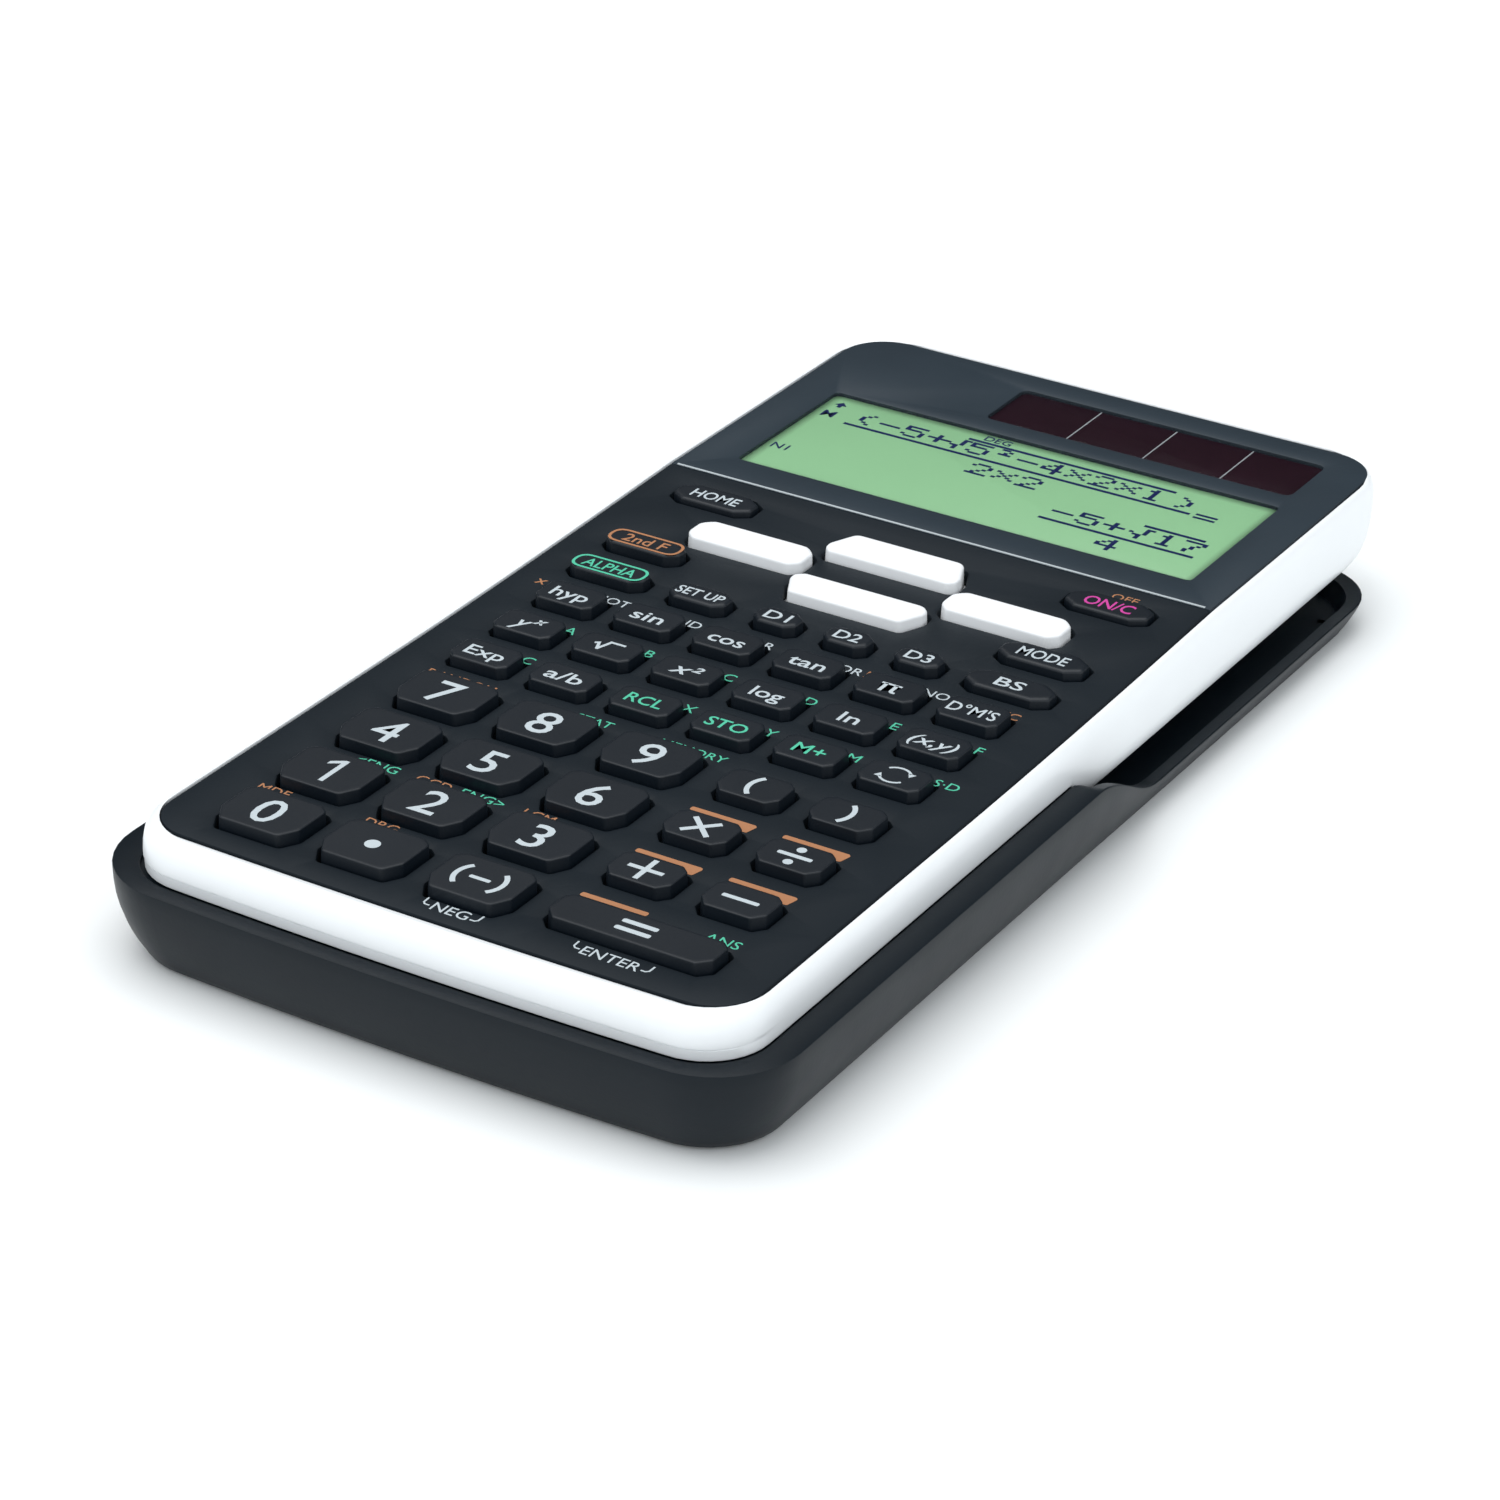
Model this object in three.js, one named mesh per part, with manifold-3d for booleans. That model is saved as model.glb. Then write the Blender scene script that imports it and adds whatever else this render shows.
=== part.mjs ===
// A scientific calculator resting in its slide-on hard cover.
// Millimetres, +Z up, +X right, +Y away from the user.
// The origin is the middle of the footprint, on the surface that the cover stands on.
import * as THREE from 'three';
import * as BufferGeometryUtils from 'three/addons/utils/BufferGeometryUtils.js';
import Module from 'manifold-3d';

const wasm = await Module();
wasm.setup();

// ---- driving dimensions ----
const GAP = 0.3;              // clearance between touching pieces
const PANEL_LENGTH = 165.8;   // dark front panel, near edge to far edge
const PANEL_HALF_WIDTH = 38.7;
const KEYBOARD_Z = 16.8;      // height of the panel's keyboard area
const DISPLAY_RISE = 1.2;     // the display area stands this much higher
const RISE_START = 54;        // from here the panel curves up ...
const RISE_END = 113.6;       // ... until here, measured from the panel's near edge
const RISE_POWER = 1.6;
const BODY_HALF_WIDTH = 40.1;
const BODY_NEAR = -3.2;       // ends of the white case, from the panel's near edge
const BODY_FAR = 167.4;
const BODY_BOTTOM_Z = 5.6;
const SKIRT_FOOT_Z = 12.6;    // how far down the front case reaches inside the rear case
const SKIRT_SKIN = 1.2;
const RAIL_Z = 11.2;          // underside of the white overhang above the cover's rails
const GROOVE_FLOOR_Z = 9.0;
const GROOVE_DEPTH = 2.0;
const RAIL_END = 76;          // the cover's high rails stop here
const COVER_HALF_WIDTH = 44;
const COVER_NEAR = -5.9;
const COVER_FAR = 162.8;
const COVER_RIM_Z = 11.5;
const COVER_LOW_Z = 4.4;      // height of the cover's low wall at the display end
const COVER_SKIN = 1.8;
const COVER_TUCK = 3.4;       // how far the cover's foot is drawn in below its rim
const COVER_CURL = 2.2;       // how sharply it is drawn in
const OUTSIDE = 60;           // reaches past the object's sides
const BEYOND = 200;           // reaches past its ends
const ABOVE = 40;             // reaches past its top
const KEY_TRAVEL = 1.0;
const MIDDLE = (COVER_NEAR + BODY_FAR) / 2;   // panel coordinates to the origin

// Layers under the panel, top down.
const PANEL_SKIN = 1.8;
const FLANGE_DROP = PANEL_SKIN + GAP;   // panel top to key flange top
const FOOT_DROP = 3.6;                  // keyboard area to the keys' feet
const KEY_FOOT_Z = KEYBOARD_Z - FOOT_DROP;
const DOME_HEIGHT = 0.6;                // left for the mat's domes under a pressed key
const MAT_TOP_Z = KEY_FOOT_Z - KEY_TRAVEL - GAP - DOME_HEIGHT;
const MAT_SKIN = 0.6;
const BOARD_SKIN = 1.2;
const BOARD_TOP_Z = MAT_TOP_Z - MAT_SKIN - GAP;
const REAR_SKIN = 1.5;

// ---- materials ----
const material = (colour, roughness, metalness = 0) =>
  new THREE.MeshStandardMaterial({ color: colour, roughness, metalness });
const darkPlastic = material(0x2b3238, 0.5);
const whitePlastic = material(0xeef0f2, 0.35);
const coverPlastic = material(0x2a2e31, 0.55);
const displayPlastic = material(0x434c53, 0.35);
const lcdGlass = material(0x9fd6a2, 0.3);
const solarGlass = material(0x2c1620, 0.25);
const rubber = material(0xb9bdbc, 0.8);
const boardLaminate = material(0x2f6b46, 0.6);

// ---- geometry helpers ----
function toSolid(geometry) {
  const bare = geometry.clone();
  bare.deleteAttribute('normal');
  bare.deleteAttribute('uv');
  const merged = BufferGeometryUtils.mergeVertices(bare, 1e-4);
  return new wasm.Manifold(new wasm.Mesh({
    numProp: 3,
    vertProperties: new Float32Array(merged.attributes.position.array),
    triVerts: new Uint32Array(merged.index.array),
  }));
}

function toGeometry(solid) {
  const mesh = solid.getMesh();
  const geometry = new THREE.BufferGeometry();
  geometry.setAttribute('position', new THREE.BufferAttribute(mesh.vertProperties, 3));
  geometry.setIndex(new THREE.BufferAttribute(mesh.triVerts, 1));
  return geometry;
}

// A closed skin through rings of equal point count, convex at both ends.
function loft(rings) {
  const count = rings[0].length;
  const index = [];
  for (let level = 0; level + 1 < rings.length; level += 1) {
    for (let i = 0; i < count; i += 1) {
      const a = level * count + i;
      const b = level * count + (i + 1) % count;
      index.push(a, b, b + count, a, b + count, a + count);
    }
  }
  const last = (rings.length - 1) * count;
  for (let i = 1; i + 1 < count; i += 1) {
    index.push(0, i + 1, i, last, last + i, last + i + 1);
  }
  const geometry = new THREE.BufferGeometry();
  geometry.setAttribute('position', new THREE.Float32BufferAttribute(rings.flat(2), 3));
  geometry.setIndex(index);
  return geometry;
}

const atHeight = (outline, z) => outline.map(([x, y]) => [x, y, z]);

// An upright block over an outline in the plan view.
function prism(outline, bottom, top) {
  return toSolid(loft([atHeight(outline, bottom), atHeight(outline, top)]));
}

function box(x0, x1, y0, y1, z0, z1) {
  return prism([[x0, y0], [x1, y0], [x1, y1], [x0, y1]], z0, z1);
}

// A block over a side-view outline of [y, z] points, across the full width.
function crossBlock(side, halfWidth) {
  const shape = new THREE.Shape(side.map(([y, z]) => new THREE.Vector2(y, z)));
  const geometry = new THREE.ExtrudeGeometry(shape, { depth: 2 * halfWidth, bevelEnabled: false });
  const position = geometry.attributes.position;
  for (let i = 0; i < position.count; i += 1) {
    position.setXYZ(i, position.getZ(i) - halfWidth, position.getX(i), position.getY(i));
  }
  return toSolid(geometry);
}

// A rounded plan outline, counter-clockwise; bow pushes the middle of the near edge out.
function slabOutline({ halfWidth, near, far, nearRadius, farRadius, bow = 0, steps = 4 }) {
  const points = [];
  const corner = (cx, cy, radius, start) => {
    for (let i = 0; i <= steps; i += 1) {
      const angle = start + (i / steps) * Math.PI / 2;
      points.push([cx + radius * Math.cos(angle), cy + radius * Math.sin(angle)]);
    }
  };
  corner(-halfWidth + nearRadius, near + bow + nearRadius, nearRadius, Math.PI);
  points.push([0, near]);
  corner(halfWidth - nearRadius, near + bow + nearRadius, nearRadius, -Math.PI / 2);
  corner(halfWidth - farRadius, far - farRadius, farRadius, 0);
  corner(-halfWidth + farRadius, far - farRadius, farRadius, Math.PI / 2);
  return points;
}

// Corner radii at the two ends, the share of an inset that they give up, and the near edge's bow.
const PANEL_CORNERS = { near: 6, far: 7, share: 1, bow: 0.4 };
const BODY_CORNERS = { near: 8.5, far: 10, share: 0.5, bow: 0.6 };
const COVER_CORNERS = { near: 11, far: 12, share: 0.6, bow: 0.7 };

const insetOutline = (halfWidth, near, far, corners) => (inset) => slabOutline({
  halfWidth: halfWidth - inset, near: near + inset, far: far - inset,
  nearRadius: corners.near - corners.share * inset,
  farRadius: corners.far - corners.share * inset,
  bow: corners.bow,
});

const panelOutline = insetOutline(PANEL_HALF_WIDTH, 0, PANEL_LENGTH, PANEL_CORNERS);
const bodyOutline = insetOutline(BODY_HALF_WIDTH, BODY_NEAR, BODY_FAR, BODY_CORNERS);
const coverOutline = insetOutline(COVER_HALF_WIDTH, COVER_NEAR, COVER_FAR, COVER_CORNERS);

// A solid through levels of [height, inset] of an outline.
const lofted = (levels, outline) =>
  toSolid(loft(levels.map(([z, inset]) => atHeight(outline(inset), z))));

// How far the panel has risen above the keyboard area, at a distance from its near edge.
function rise(y) {
  const share = THREE.MathUtils.clamp((y - RISE_START) / (RISE_END - RISE_START), 0, 1);
  return DISPLAY_RISE * share ** RISE_POWER;
}

// The panel's side view from its near to its far end, dropped by a distance.
function panelLine(drop) {
  const stations = [-OUTSIDE, RISE_START, 66, 78, 90, 102, RISE_END, BEYOND];
  return stations.map((y) => [y, KEYBOARD_Z + rise(y) - drop]);
}

// Everything between two copies of the panel's side view.
function panelLayer(topDrop, bottomDrop, halfWidth) {
  return crossBlock([...panelLine(bottomDrop), ...panelLine(topDrop).reverse()], halfWidth);
}

// ---- keys ----
const KEY_HEIGHT = 1.3;      // key top above the panel
const WIDE_HEIGHT = 1.0;     // the editing and power keys stand lower
const LOW_HEIGHT = 0.6;
const KEY_BEVEL = 0.35;
const KEY_HOLE_MARGIN = 0.4;

// Half sizes of the key tops, how much each near and far corner is cut, across and along,
// how far the foot's flange stands out past the opening, and the top's height above the panel.
const form = (half, nearCut, farCut, flange, height = KEY_HEIGHT) =>
  ({ half, nearCut, farCut, flange, height });
const KEY_FORMS = {
  number: form([5.25, 4.15], [1.35, 2.4], [1.1, 0.9], 0.6),
  operator: form([4.15, 2.95], [1.2, 1.5], [1.0, 0.9], 0.6),
  equals: form([10.4, 2.8], [1.4, 1.5], [1.0, 0.9], 0.6),
  function: form([4.05, 2.7], [0.9, 1.0], [0.8, 0.8], 0.6),
  wide: form([5.7, 2.3], [1.9, 1.3], [1.9, 1.3], 0.5, WIDE_HEIGHT),
  low: form([5.7, 2.35], [1.9, 1.3], [1.9, 1.3], 0.5, LOW_HEIGHT),
  shift: form([5.4, 2.1], [1.6, 1.3], [1.6, 1.3], 0.5),
  medium: form([4.0, 2.1], [1.3, 1.1], [1.3, 1.1], 0.5),
  small: form([3.0, 2.05], [1.2, 1.1], [1.2, 1.1], 0.5),
  side_arrow: form([8.2, 2.8], [1.3, 1.3], [1.3, 1.3], 0.2),
  up_arrow: form([9.3, 3.0], [0.9, 0.9], [1.6, 3.8], 0.2),
  down_arrow: form([9.4, 2.7], [1.6, 3.4], [0.9, 0.9], 0.2),
};

const NUMBER_COLUMNS = [-26.5, -12.6, 1.6];
const OPERATOR_COLUMNS = [15.6, 27.7];
const EQUALS_COLUMN = 21.6;
const NUMBER_ROW_START = 8.4;
const NUMBER_ROW_PITCH = 11.67;
const OPERATOR_SHIFT = 0.1;   // the operator keys sit slightly beyond the number keys' rows
const FUNCTION_COLUMN_START = -28.15;
const FUNCTION_COLUMN_PITCH = 11.16;
const FUNCTION_ROW_START = 54.6;
const FUNCTION_ROW_PITCH = 9.37;

const NUMBER_ROWS = [
  ['0', 'decimal_point', 'negative'],
  ['1', '2', '3'],
  ['4', '5', '6'],
  ['7', '8', '9'],
];
const OPERATOR_ROWS = [
  [],
  ['plus', 'minus'],
  ['times', 'divide'],
  ['open_bracket', 'close_bracket'],
];
const FUNCTION_ROWS = [
  ['exponent', 'fraction', 'recall', 'store', 'memory_plus', 'change'],
  ['power', 'root', 'square', 'log', 'ln', 'coordinates'],
  ['hyp', 'sin', 'cos', 'tan', 'pi', 'degrees'],
];
const LONE_KEYS = [
  ['equals', 'equals', EQUALS_COLUMN, NUMBER_ROW_START + 2 * OPERATOR_SHIFT],
  ['alpha', 'shift', -28.05, 82.1],
  ['setup', 'medium', -14.9, 82.0],
  ['d1', 'small', -3.9, 82.0],
  ['d2', 'small', 5.9, 82.0],
  ['d3', 'small', 15.7, 82.0],
  ['backspace', 'wide', 27.9, 82.2],
  ['second_function', 'shift', -28.05, 90.5],
  ['mode', 'wide', 27.9, 90.6],
  ['home', 'low', -27.9, 107.2],
  ['on_clear', 'low', 28.1, 107.5],
  ['arrow_left', 'side_arrow', -17.2, 97.7],
  ['arrow_up', 'up_arrow', 0.6, 103.8],
  ['arrow_down', 'down_arrow', 1.2, 91.4],
  ['arrow_right', 'side_arrow', 19.1, 97.5],
];

function listKeys() {
  const keys = [];
  NUMBER_ROWS.forEach((names, row) => {
    const y = NUMBER_ROW_START + row * NUMBER_ROW_PITCH;
    names.forEach((name, column) => keys.push([name, 'number', NUMBER_COLUMNS[column], y]));
    OPERATOR_ROWS[row].forEach((name, column) =>
      keys.push([name, 'operator', OPERATOR_COLUMNS[column], y + OPERATOR_SHIFT]));
  });
  FUNCTION_ROWS.forEach((names, row) => names.forEach((name, column) => keys.push([
    name, 'function',
    FUNCTION_COLUMN_START + column * FUNCTION_COLUMN_PITCH,
    FUNCTION_ROW_START + row * FUNCTION_ROW_PITCH,
  ])));
  keys.push(...LONE_KEYS);
  return keys.map(([name, form, x, y]) => ({ name: `key_${name}`, form: KEY_FORMS[form], x, y }));
}

// A key's oblong with its corners cut, grown or shrunk by a margin.
function keyOutline({ form, x, y }, margin) {
  const [halfWidth, halfDepth] = form.half.map((size) => size + margin);
  const [nearX, nearY] = form.nearCut;
  const [farX, farY] = form.farCut;
  return [
    [x - halfWidth + nearX, y - halfDepth],
    [x + halfWidth - nearX, y - halfDepth],
    [x + halfWidth, y - halfDepth + nearY],
    [x + halfWidth, y + halfDepth - farY],
    [x + halfWidth - farX, y + halfDepth],
    [x - halfWidth + farX, y + halfDepth],
    [x - halfWidth, y + halfDepth - farY],
    [x - halfWidth, y - halfDepth + nearY],
  ];
}

// A keycap: its flange stays under the panel, its body passes through it.
function keyCap(key) {
  const surface = KEYBOARD_Z + rise(key.y);
  const top = surface + key.form.height;
  const flange = keyOutline(key, KEY_HOLE_MARGIN + key.form.flange);
  const body = keyOutline(key, 0);
  const flangeTop = surface - FLANGE_DROP;
  return loft([
    atHeight(flange, KEY_FOOT_Z),
    atHeight(flange, flangeTop),
    atHeight(body, flangeTop),
    atHeight(body, top - KEY_BEVEL),
    atHeight(keyOutline(key, -KEY_BEVEL), top),
  ]);
}

// The openings that the keys pass through.
const keyHoles = (keys) => keys.map((key) => prism(keyOutline(key, KEY_HOLE_MARGIN), 0, ABOVE));

// ---- display ----
const LCD_VIEW = { x0: -32.4, x1: 33.0, y0: 120.0, y1: 146.0 };
const SOLAR_VIEW = { x0: -11.9, x1: 32.6, y0: 149.8, y1: 161.0 };
const WINDOW_NEAR = RISE_END + GAP;   // the display window spans the panel beyond this line
const WINDOW_SKIN = 1.0;
const CELL_GAP = 0.5;
const LCD_THICKNESS = 2.6;
const LCD_BORDER = 1.4;               // how far each module reaches past its view
const SOLAR_THICKNESS = 1.4;
const SOLAR_BORDER = 1.2;

const blockOver = (area, margin, z0, z1) =>
  box(area.x0 - margin, area.x1 + margin, area.y0 - margin, area.y1 + margin, z0, z1);

const displayZ = KEYBOARD_Z + DISPLAY_RISE;
const seatZ = displayZ - WINDOW_SKIN - GAP;
const cellTopZ = seatZ - CELL_GAP;

function displayWindow() {
  const beyondLine = box(-OUTSIDE, OUTSIDE, WINDOW_NEAR, BEYOND, displayZ - WINDOW_SKIN, displayZ);
  return prism(panelOutline(0), 0, ABOVE).intersect(beyondLine);
}

const moduleBelow = (view, border, thickness) =>
  toGeometry(blockOver(view, border, cellTopZ - thickness, cellTopZ));

// ---- case ----
const PANEL_DEPTH = 20;   // from the panel's face down past the case's floor

// The dark front case: a panel with the key openings, and a skirt inside the rear case.
function frontCase(keys) {
  const block = prism(panelOutline(0), SKIRT_FOOT_Z, ABOVE)
    .intersect(panelLayer(0, PANEL_DEPTH, OUTSIDE));
  const hollow = prism(panelOutline(SKIRT_SKIN), 0, ABOVE)
    .intersect(panelLayer(PANEL_SKIN, PANEL_DEPTH, OUTSIDE));
  const seat = box(-OUTSIDE, OUTSIDE, WINDOW_NEAR - GAP, BEYOND, seatZ, ABOVE);
  let shell = block.subtract(hollow).subtract(seat);
  keyHoles(keys).forEach((hole) => { shell = shell.subtract(hole); });
  shell = shell.subtract(blockOver(LCD_VIEW, 0, 0, ABOVE));
  return shell.subtract(blockOver(SOLAR_VIEW, 0, 0, ABOVE));
}

const BATTERY_BAY = { x0: 13, x1: 30, y0: 122, y1: 138 };
const BATTERY_COVER_SKIN = 1.2;
const RAIL_RELIEF = 1.2;        // the case is this much narrower below the rails
const INSIDE_WALL = GROOVE_DEPTH + 1.5;
const OVERHANG_FACE = 0.4;      // height over which the overhang's edge comes out to full width

// Heights and insets of the rear case's side, from its foot to its shoulder.
const REAR_LEVELS = [
  [BODY_BOTTOM_Z, 3.2],
  [BODY_BOTTOM_Z + 0.8, 1.6],
  [BODY_BOTTOM_Z + 2.4, 0.7],
  [RAIL_Z - OVERHANG_FACE, 0],
  [KEYBOARD_Z - 1.6, 0.05],
  [KEYBOARD_Z - 0.4, 0.35],
  [KEYBOARD_Z + 0.4, 0.6],
  [KEYBOARD_Z + 1.6, 0.85],
];

// The white rear case: a tub that shows all round the front case, grooved for the cover's rails.
function rearCase() {
  let tub = lofted(REAR_LEVELS, bodyOutline).intersect(panelLayer(0, PANEL_DEPTH, OUTSIDE));
  const ringOutside = (inset, bottom, top) =>
    box(-OUTSIDE, OUTSIDE, -OUTSIDE, RAIL_END + 2, bottom, top)
      .subtract(prism(bodyOutline(inset), 0, ABOVE));
  tub = tub.subtract(ringOutside(GROOVE_DEPTH, GROOVE_FLOOR_Z, RAIL_Z));
  tub = tub.subtract(ringOutside(RAIL_RELIEF, 0, RAIL_Z));
  tub = tub.subtract(prism(panelOutline(-GAP), SKIRT_FOOT_Z - GAP, ABOVE));
  tub = tub.subtract(prism(bodyOutline(INSIDE_WALL), BODY_BOTTOM_Z + REAR_SKIN, ABOVE));
  return tub.subtract(blockOver(BATTERY_BAY, 0, 0, ABOVE));
}

function batteryCover() {
  return blockOver(BATTERY_BAY, -GAP, BODY_BOTTOM_Z, BODY_BOTTOM_Z + BATTERY_COVER_SKIN);
}

// The sheets inside the case, with their corners rounded to fit it.
const SHEET_HALF_WIDTH = 34.5;
const SHEET_NEAR = 2.5;
const SHEET_RADIUS = 6;
const MAT_FAR = 111;
const BOARD_FAR = 146;
const BAY_CLEARANCE = 1;    // the board keeps this far from the battery bay

const insideOutline = (far) => slabOutline({
  halfWidth: SHEET_HALF_WIDTH, near: SHEET_NEAR, far,
  nearRadius: SHEET_RADIUS, farRadius: SHEET_RADIUS, steps: 2,
});

function keyMat() {
  return prism(insideOutline(MAT_FAR), MAT_TOP_Z - MAT_SKIN, MAT_TOP_Z);
}

function circuitBoard() {
  const board = prism(insideOutline(BOARD_FAR), BOARD_TOP_Z - BOARD_SKIN, BOARD_TOP_Z);
  return board.subtract(blockOver(BATTERY_BAY, BAY_CLEARANCE, 0, ABOVE));
}

// ---- hard cover ----
// The cover's side curls in towards its foot.
const coverInset = (z) => COVER_TUCK * (1 - z / COVER_RIM_Z) ** COVER_CURL;

const WALL_HEIGHTS = [0, 1.6, 3.6, 6.4, COVER_RIM_Z];
const INNER_HEIGHTS = [COVER_SKIN, 3.6, 6.4, COVER_RIM_Z];
const FLANGE_EDGE = 0.4;   // the rail flange stops this far inside the wall's face

// The cover's wall in side view: it falls in an S from the rails to its low part.
const WALL_FALL = [
  [RAIL_END - 1, COVER_RIM_Z], [RAIL_END + 4, 10.2], [RAIL_END + 9, 7.2], [RAIL_END + 15, 5.0],
  [RAIL_END + 22, COVER_LOW_Z],
];

// A tray that is as high as the rails at the near end and low at the display end.
function hardCover() {
  const tray = lofted(WALL_HEIGHTS.map((z) => [z, coverInset(z)]), coverOutline);
  const inner = INNER_HEIGHTS.map((z) => [z, coverInset(z) + COVER_SKIN]);
  const hollow = lofted([...inner, [ABOVE, COVER_SKIN]], coverOutline);
  const aboveWall = crossBlock([
    [RAIL_END - 1, ABOVE], ...WALL_FALL, [BEYOND, COVER_LOW_Z], [BEYOND, ABOVE],
  ], OUTSIDE);
  // The rails' flange reaches in to the case, and its tongue runs in the case's groove.
  const flangeBand = box(-OUTSIDE, OUTSIDE, -OUTSIDE, RAIL_END, GROOVE_FLOOR_Z + GAP, COVER_RIM_Z);
  const flange = prism(coverOutline(FLANGE_EDGE), 0, ABOVE)
    .intersect(flangeBand)
    .subtract(prism(bodyOutline(GROOVE_DEPTH - GAP), 0, ABOVE))
    .subtract(prism(bodyOutline(-GAP), RAIL_Z - GAP, ABOVE));
  return tray.subtract(hollow).add(flange).subtract(aboveWall);
}

// ---- assembly ----
function assemble() {
  const keys = listKeys();
  const group = new THREE.Group();
  const place = (name, geometry, look) => {
    const mesh = new THREE.Mesh(geometry, look);
    mesh.name = name;
    mesh.position.y = -MIDDLE;
    group.add(mesh);
  };
  place('hard_cover', toGeometry(hardCover()), coverPlastic);
  place('rear_case', toGeometry(rearCase()), whitePlastic);
  place('battery_cover', toGeometry(batteryCover()), whitePlastic);
  place('front_case', toGeometry(frontCase(keys)), darkPlastic);
  place('display_window', toGeometry(displayWindow()), displayPlastic);
  place('lcd_module', moduleBelow(LCD_VIEW, LCD_BORDER, LCD_THICKNESS), lcdGlass);
  place('solar_cell', moduleBelow(SOLAR_VIEW, SOLAR_BORDER, SOLAR_THICKNESS), solarGlass);
  place('key_mat', toGeometry(keyMat()), rubber);
  place('circuit_board', toGeometry(circuitBoard()), boardLaminate);
  keys.forEach((key) => {
    const look = key.name.startsWith('key_arrow') ? whitePlastic : darkPlastic;
    place(key.name, keyCap(key), look);
  });
  return group;
}

export default assemble();
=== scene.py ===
"""A scientific calculator resting on its slide-on hard cover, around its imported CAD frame.

Lengths are millimetres in the panel's own frame until a mesh is made: x to the right, y away from
the user, from the near edge of the dark panel, and z up from the ground.
"""
import math

import bmesh
import bpy
from mathutils import Euler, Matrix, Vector
from mathutils.geometry import delaunay_2d_cdt


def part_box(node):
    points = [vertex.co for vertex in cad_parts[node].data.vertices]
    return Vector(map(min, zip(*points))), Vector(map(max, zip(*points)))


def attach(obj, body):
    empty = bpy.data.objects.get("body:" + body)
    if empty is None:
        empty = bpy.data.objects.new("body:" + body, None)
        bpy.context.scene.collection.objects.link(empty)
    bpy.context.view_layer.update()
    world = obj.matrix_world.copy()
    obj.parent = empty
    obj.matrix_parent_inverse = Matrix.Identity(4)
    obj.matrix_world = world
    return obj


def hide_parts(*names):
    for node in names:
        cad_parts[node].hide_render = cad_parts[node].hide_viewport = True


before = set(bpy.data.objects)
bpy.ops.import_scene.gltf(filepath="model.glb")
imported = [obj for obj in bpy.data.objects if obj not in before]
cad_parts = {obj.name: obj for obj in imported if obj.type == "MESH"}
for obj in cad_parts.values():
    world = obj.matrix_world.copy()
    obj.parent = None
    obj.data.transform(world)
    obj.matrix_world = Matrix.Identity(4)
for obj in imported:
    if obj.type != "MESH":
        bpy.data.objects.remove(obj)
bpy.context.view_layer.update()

MM = 0.001
CALCULATOR = "calculator"
COVER = "cover"


# ---- sizes, read from the CAD frame where it has them ----
def cad_box(node):
    """A CAD node's lowest and highest corners, in millimetres in the row frame."""
    low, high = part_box(node)
    return low / MM, high / MM


case_low, case_high = cad_box("front_case")
window_low, window_high = cad_box("display_window")
rear_low, rear_high = cad_box("rear_case")
cover_low, cover_high = cad_box("hard_cover")

ORIGIN_Y = case_low.y                          # row frame y of the panel's near edge
PANEL_HALF_WIDTH = case_high.x
PANEL_FAR = case_high.y - ORIGIN_Y
WINDOW_NEAR = window_low.y - ORIGIN_Y
WINDOW_TOP_Z = window_high.z
WINDOW_SKIN = window_high.z - window_low.z
SKIRT_FOOT_Z = case_low.z
DISPLAY_RISE = 1.2
KEYBOARD_Z = WINDOW_TOP_Z - DISPLAY_RISE
RISE_START = 54.0
RISE_END = 113.6
RISE_POWER = 1.6
PANEL_SKIN = 1.8
PANEL_NEAR_RADIUS = 5.8
PANEL_FAR_RADIUS = 6.6
PANEL_BOW = 0.45                               # how far the near edge bows out at its middle
SEAT_Z = window_low.z - 0.3                    # the display window is glued down here

BODY_HALF_WIDTH = rear_high.x
BODY_NEAR = rear_low.y - ORIGIN_Y
BODY_FAR = rear_high.y - ORIGIN_Y
BODY_BOTTOM_Z = rear_low.z
BODY_FLOOR_Z = BODY_BOTTOM_Z + 1.5
RAIL_Z = 11.2                                  # underside of the white overhang above the rails
LOW_EDGE_Z = 8.3                               # the white side's lower edge past the rails
GROOVE_FLOOR_Z = 9.0
RAIL_END = 75.0

COVER_HALF_WIDTH = cover_high.x
COVER_NEAR = cover_low.y - ORIGIN_Y
COVER_FAR = cover_high.y - ORIGIN_Y
COVER_RIM_Z = cover_high.z
COVER_LOW_Z = 4.4
COVER_SKIN = 1.8
COVER_TUCK = 3.4
COVER_EASE_END = 94.5                          # the cover's wall has come down to its low part here


def rise(y):
    """How far the panel stands above the keyboard level at a distance from its near edge."""
    share = min(max((y - RISE_START) / (RISE_END - RISE_START), 0.0), 1.0)
    return DISPLAY_RISE * share ** RISE_POWER


def panel_z(y):
    return KEYBOARD_Z + rise(y)


def ease(value, start, end):
    """0 before start, 1 after end, and a smooth step between."""
    share = min(max((value - start) / (end - start), 0.0), 1.0)
    return share * share * (3 - 2 * share)


def mix(a, b, share):
    return a + (b - a) * share


def quarter_round(radius, steps=2):
    """Insets and drops up a rounded edge, from its upright side to its flat face."""
    turns = [step / steps * math.pi / 2 for step in range(steps + 1)]
    return [(radius * (1 - math.cos(a)), radius * (1 - math.sin(a))) for a in turns]


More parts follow.
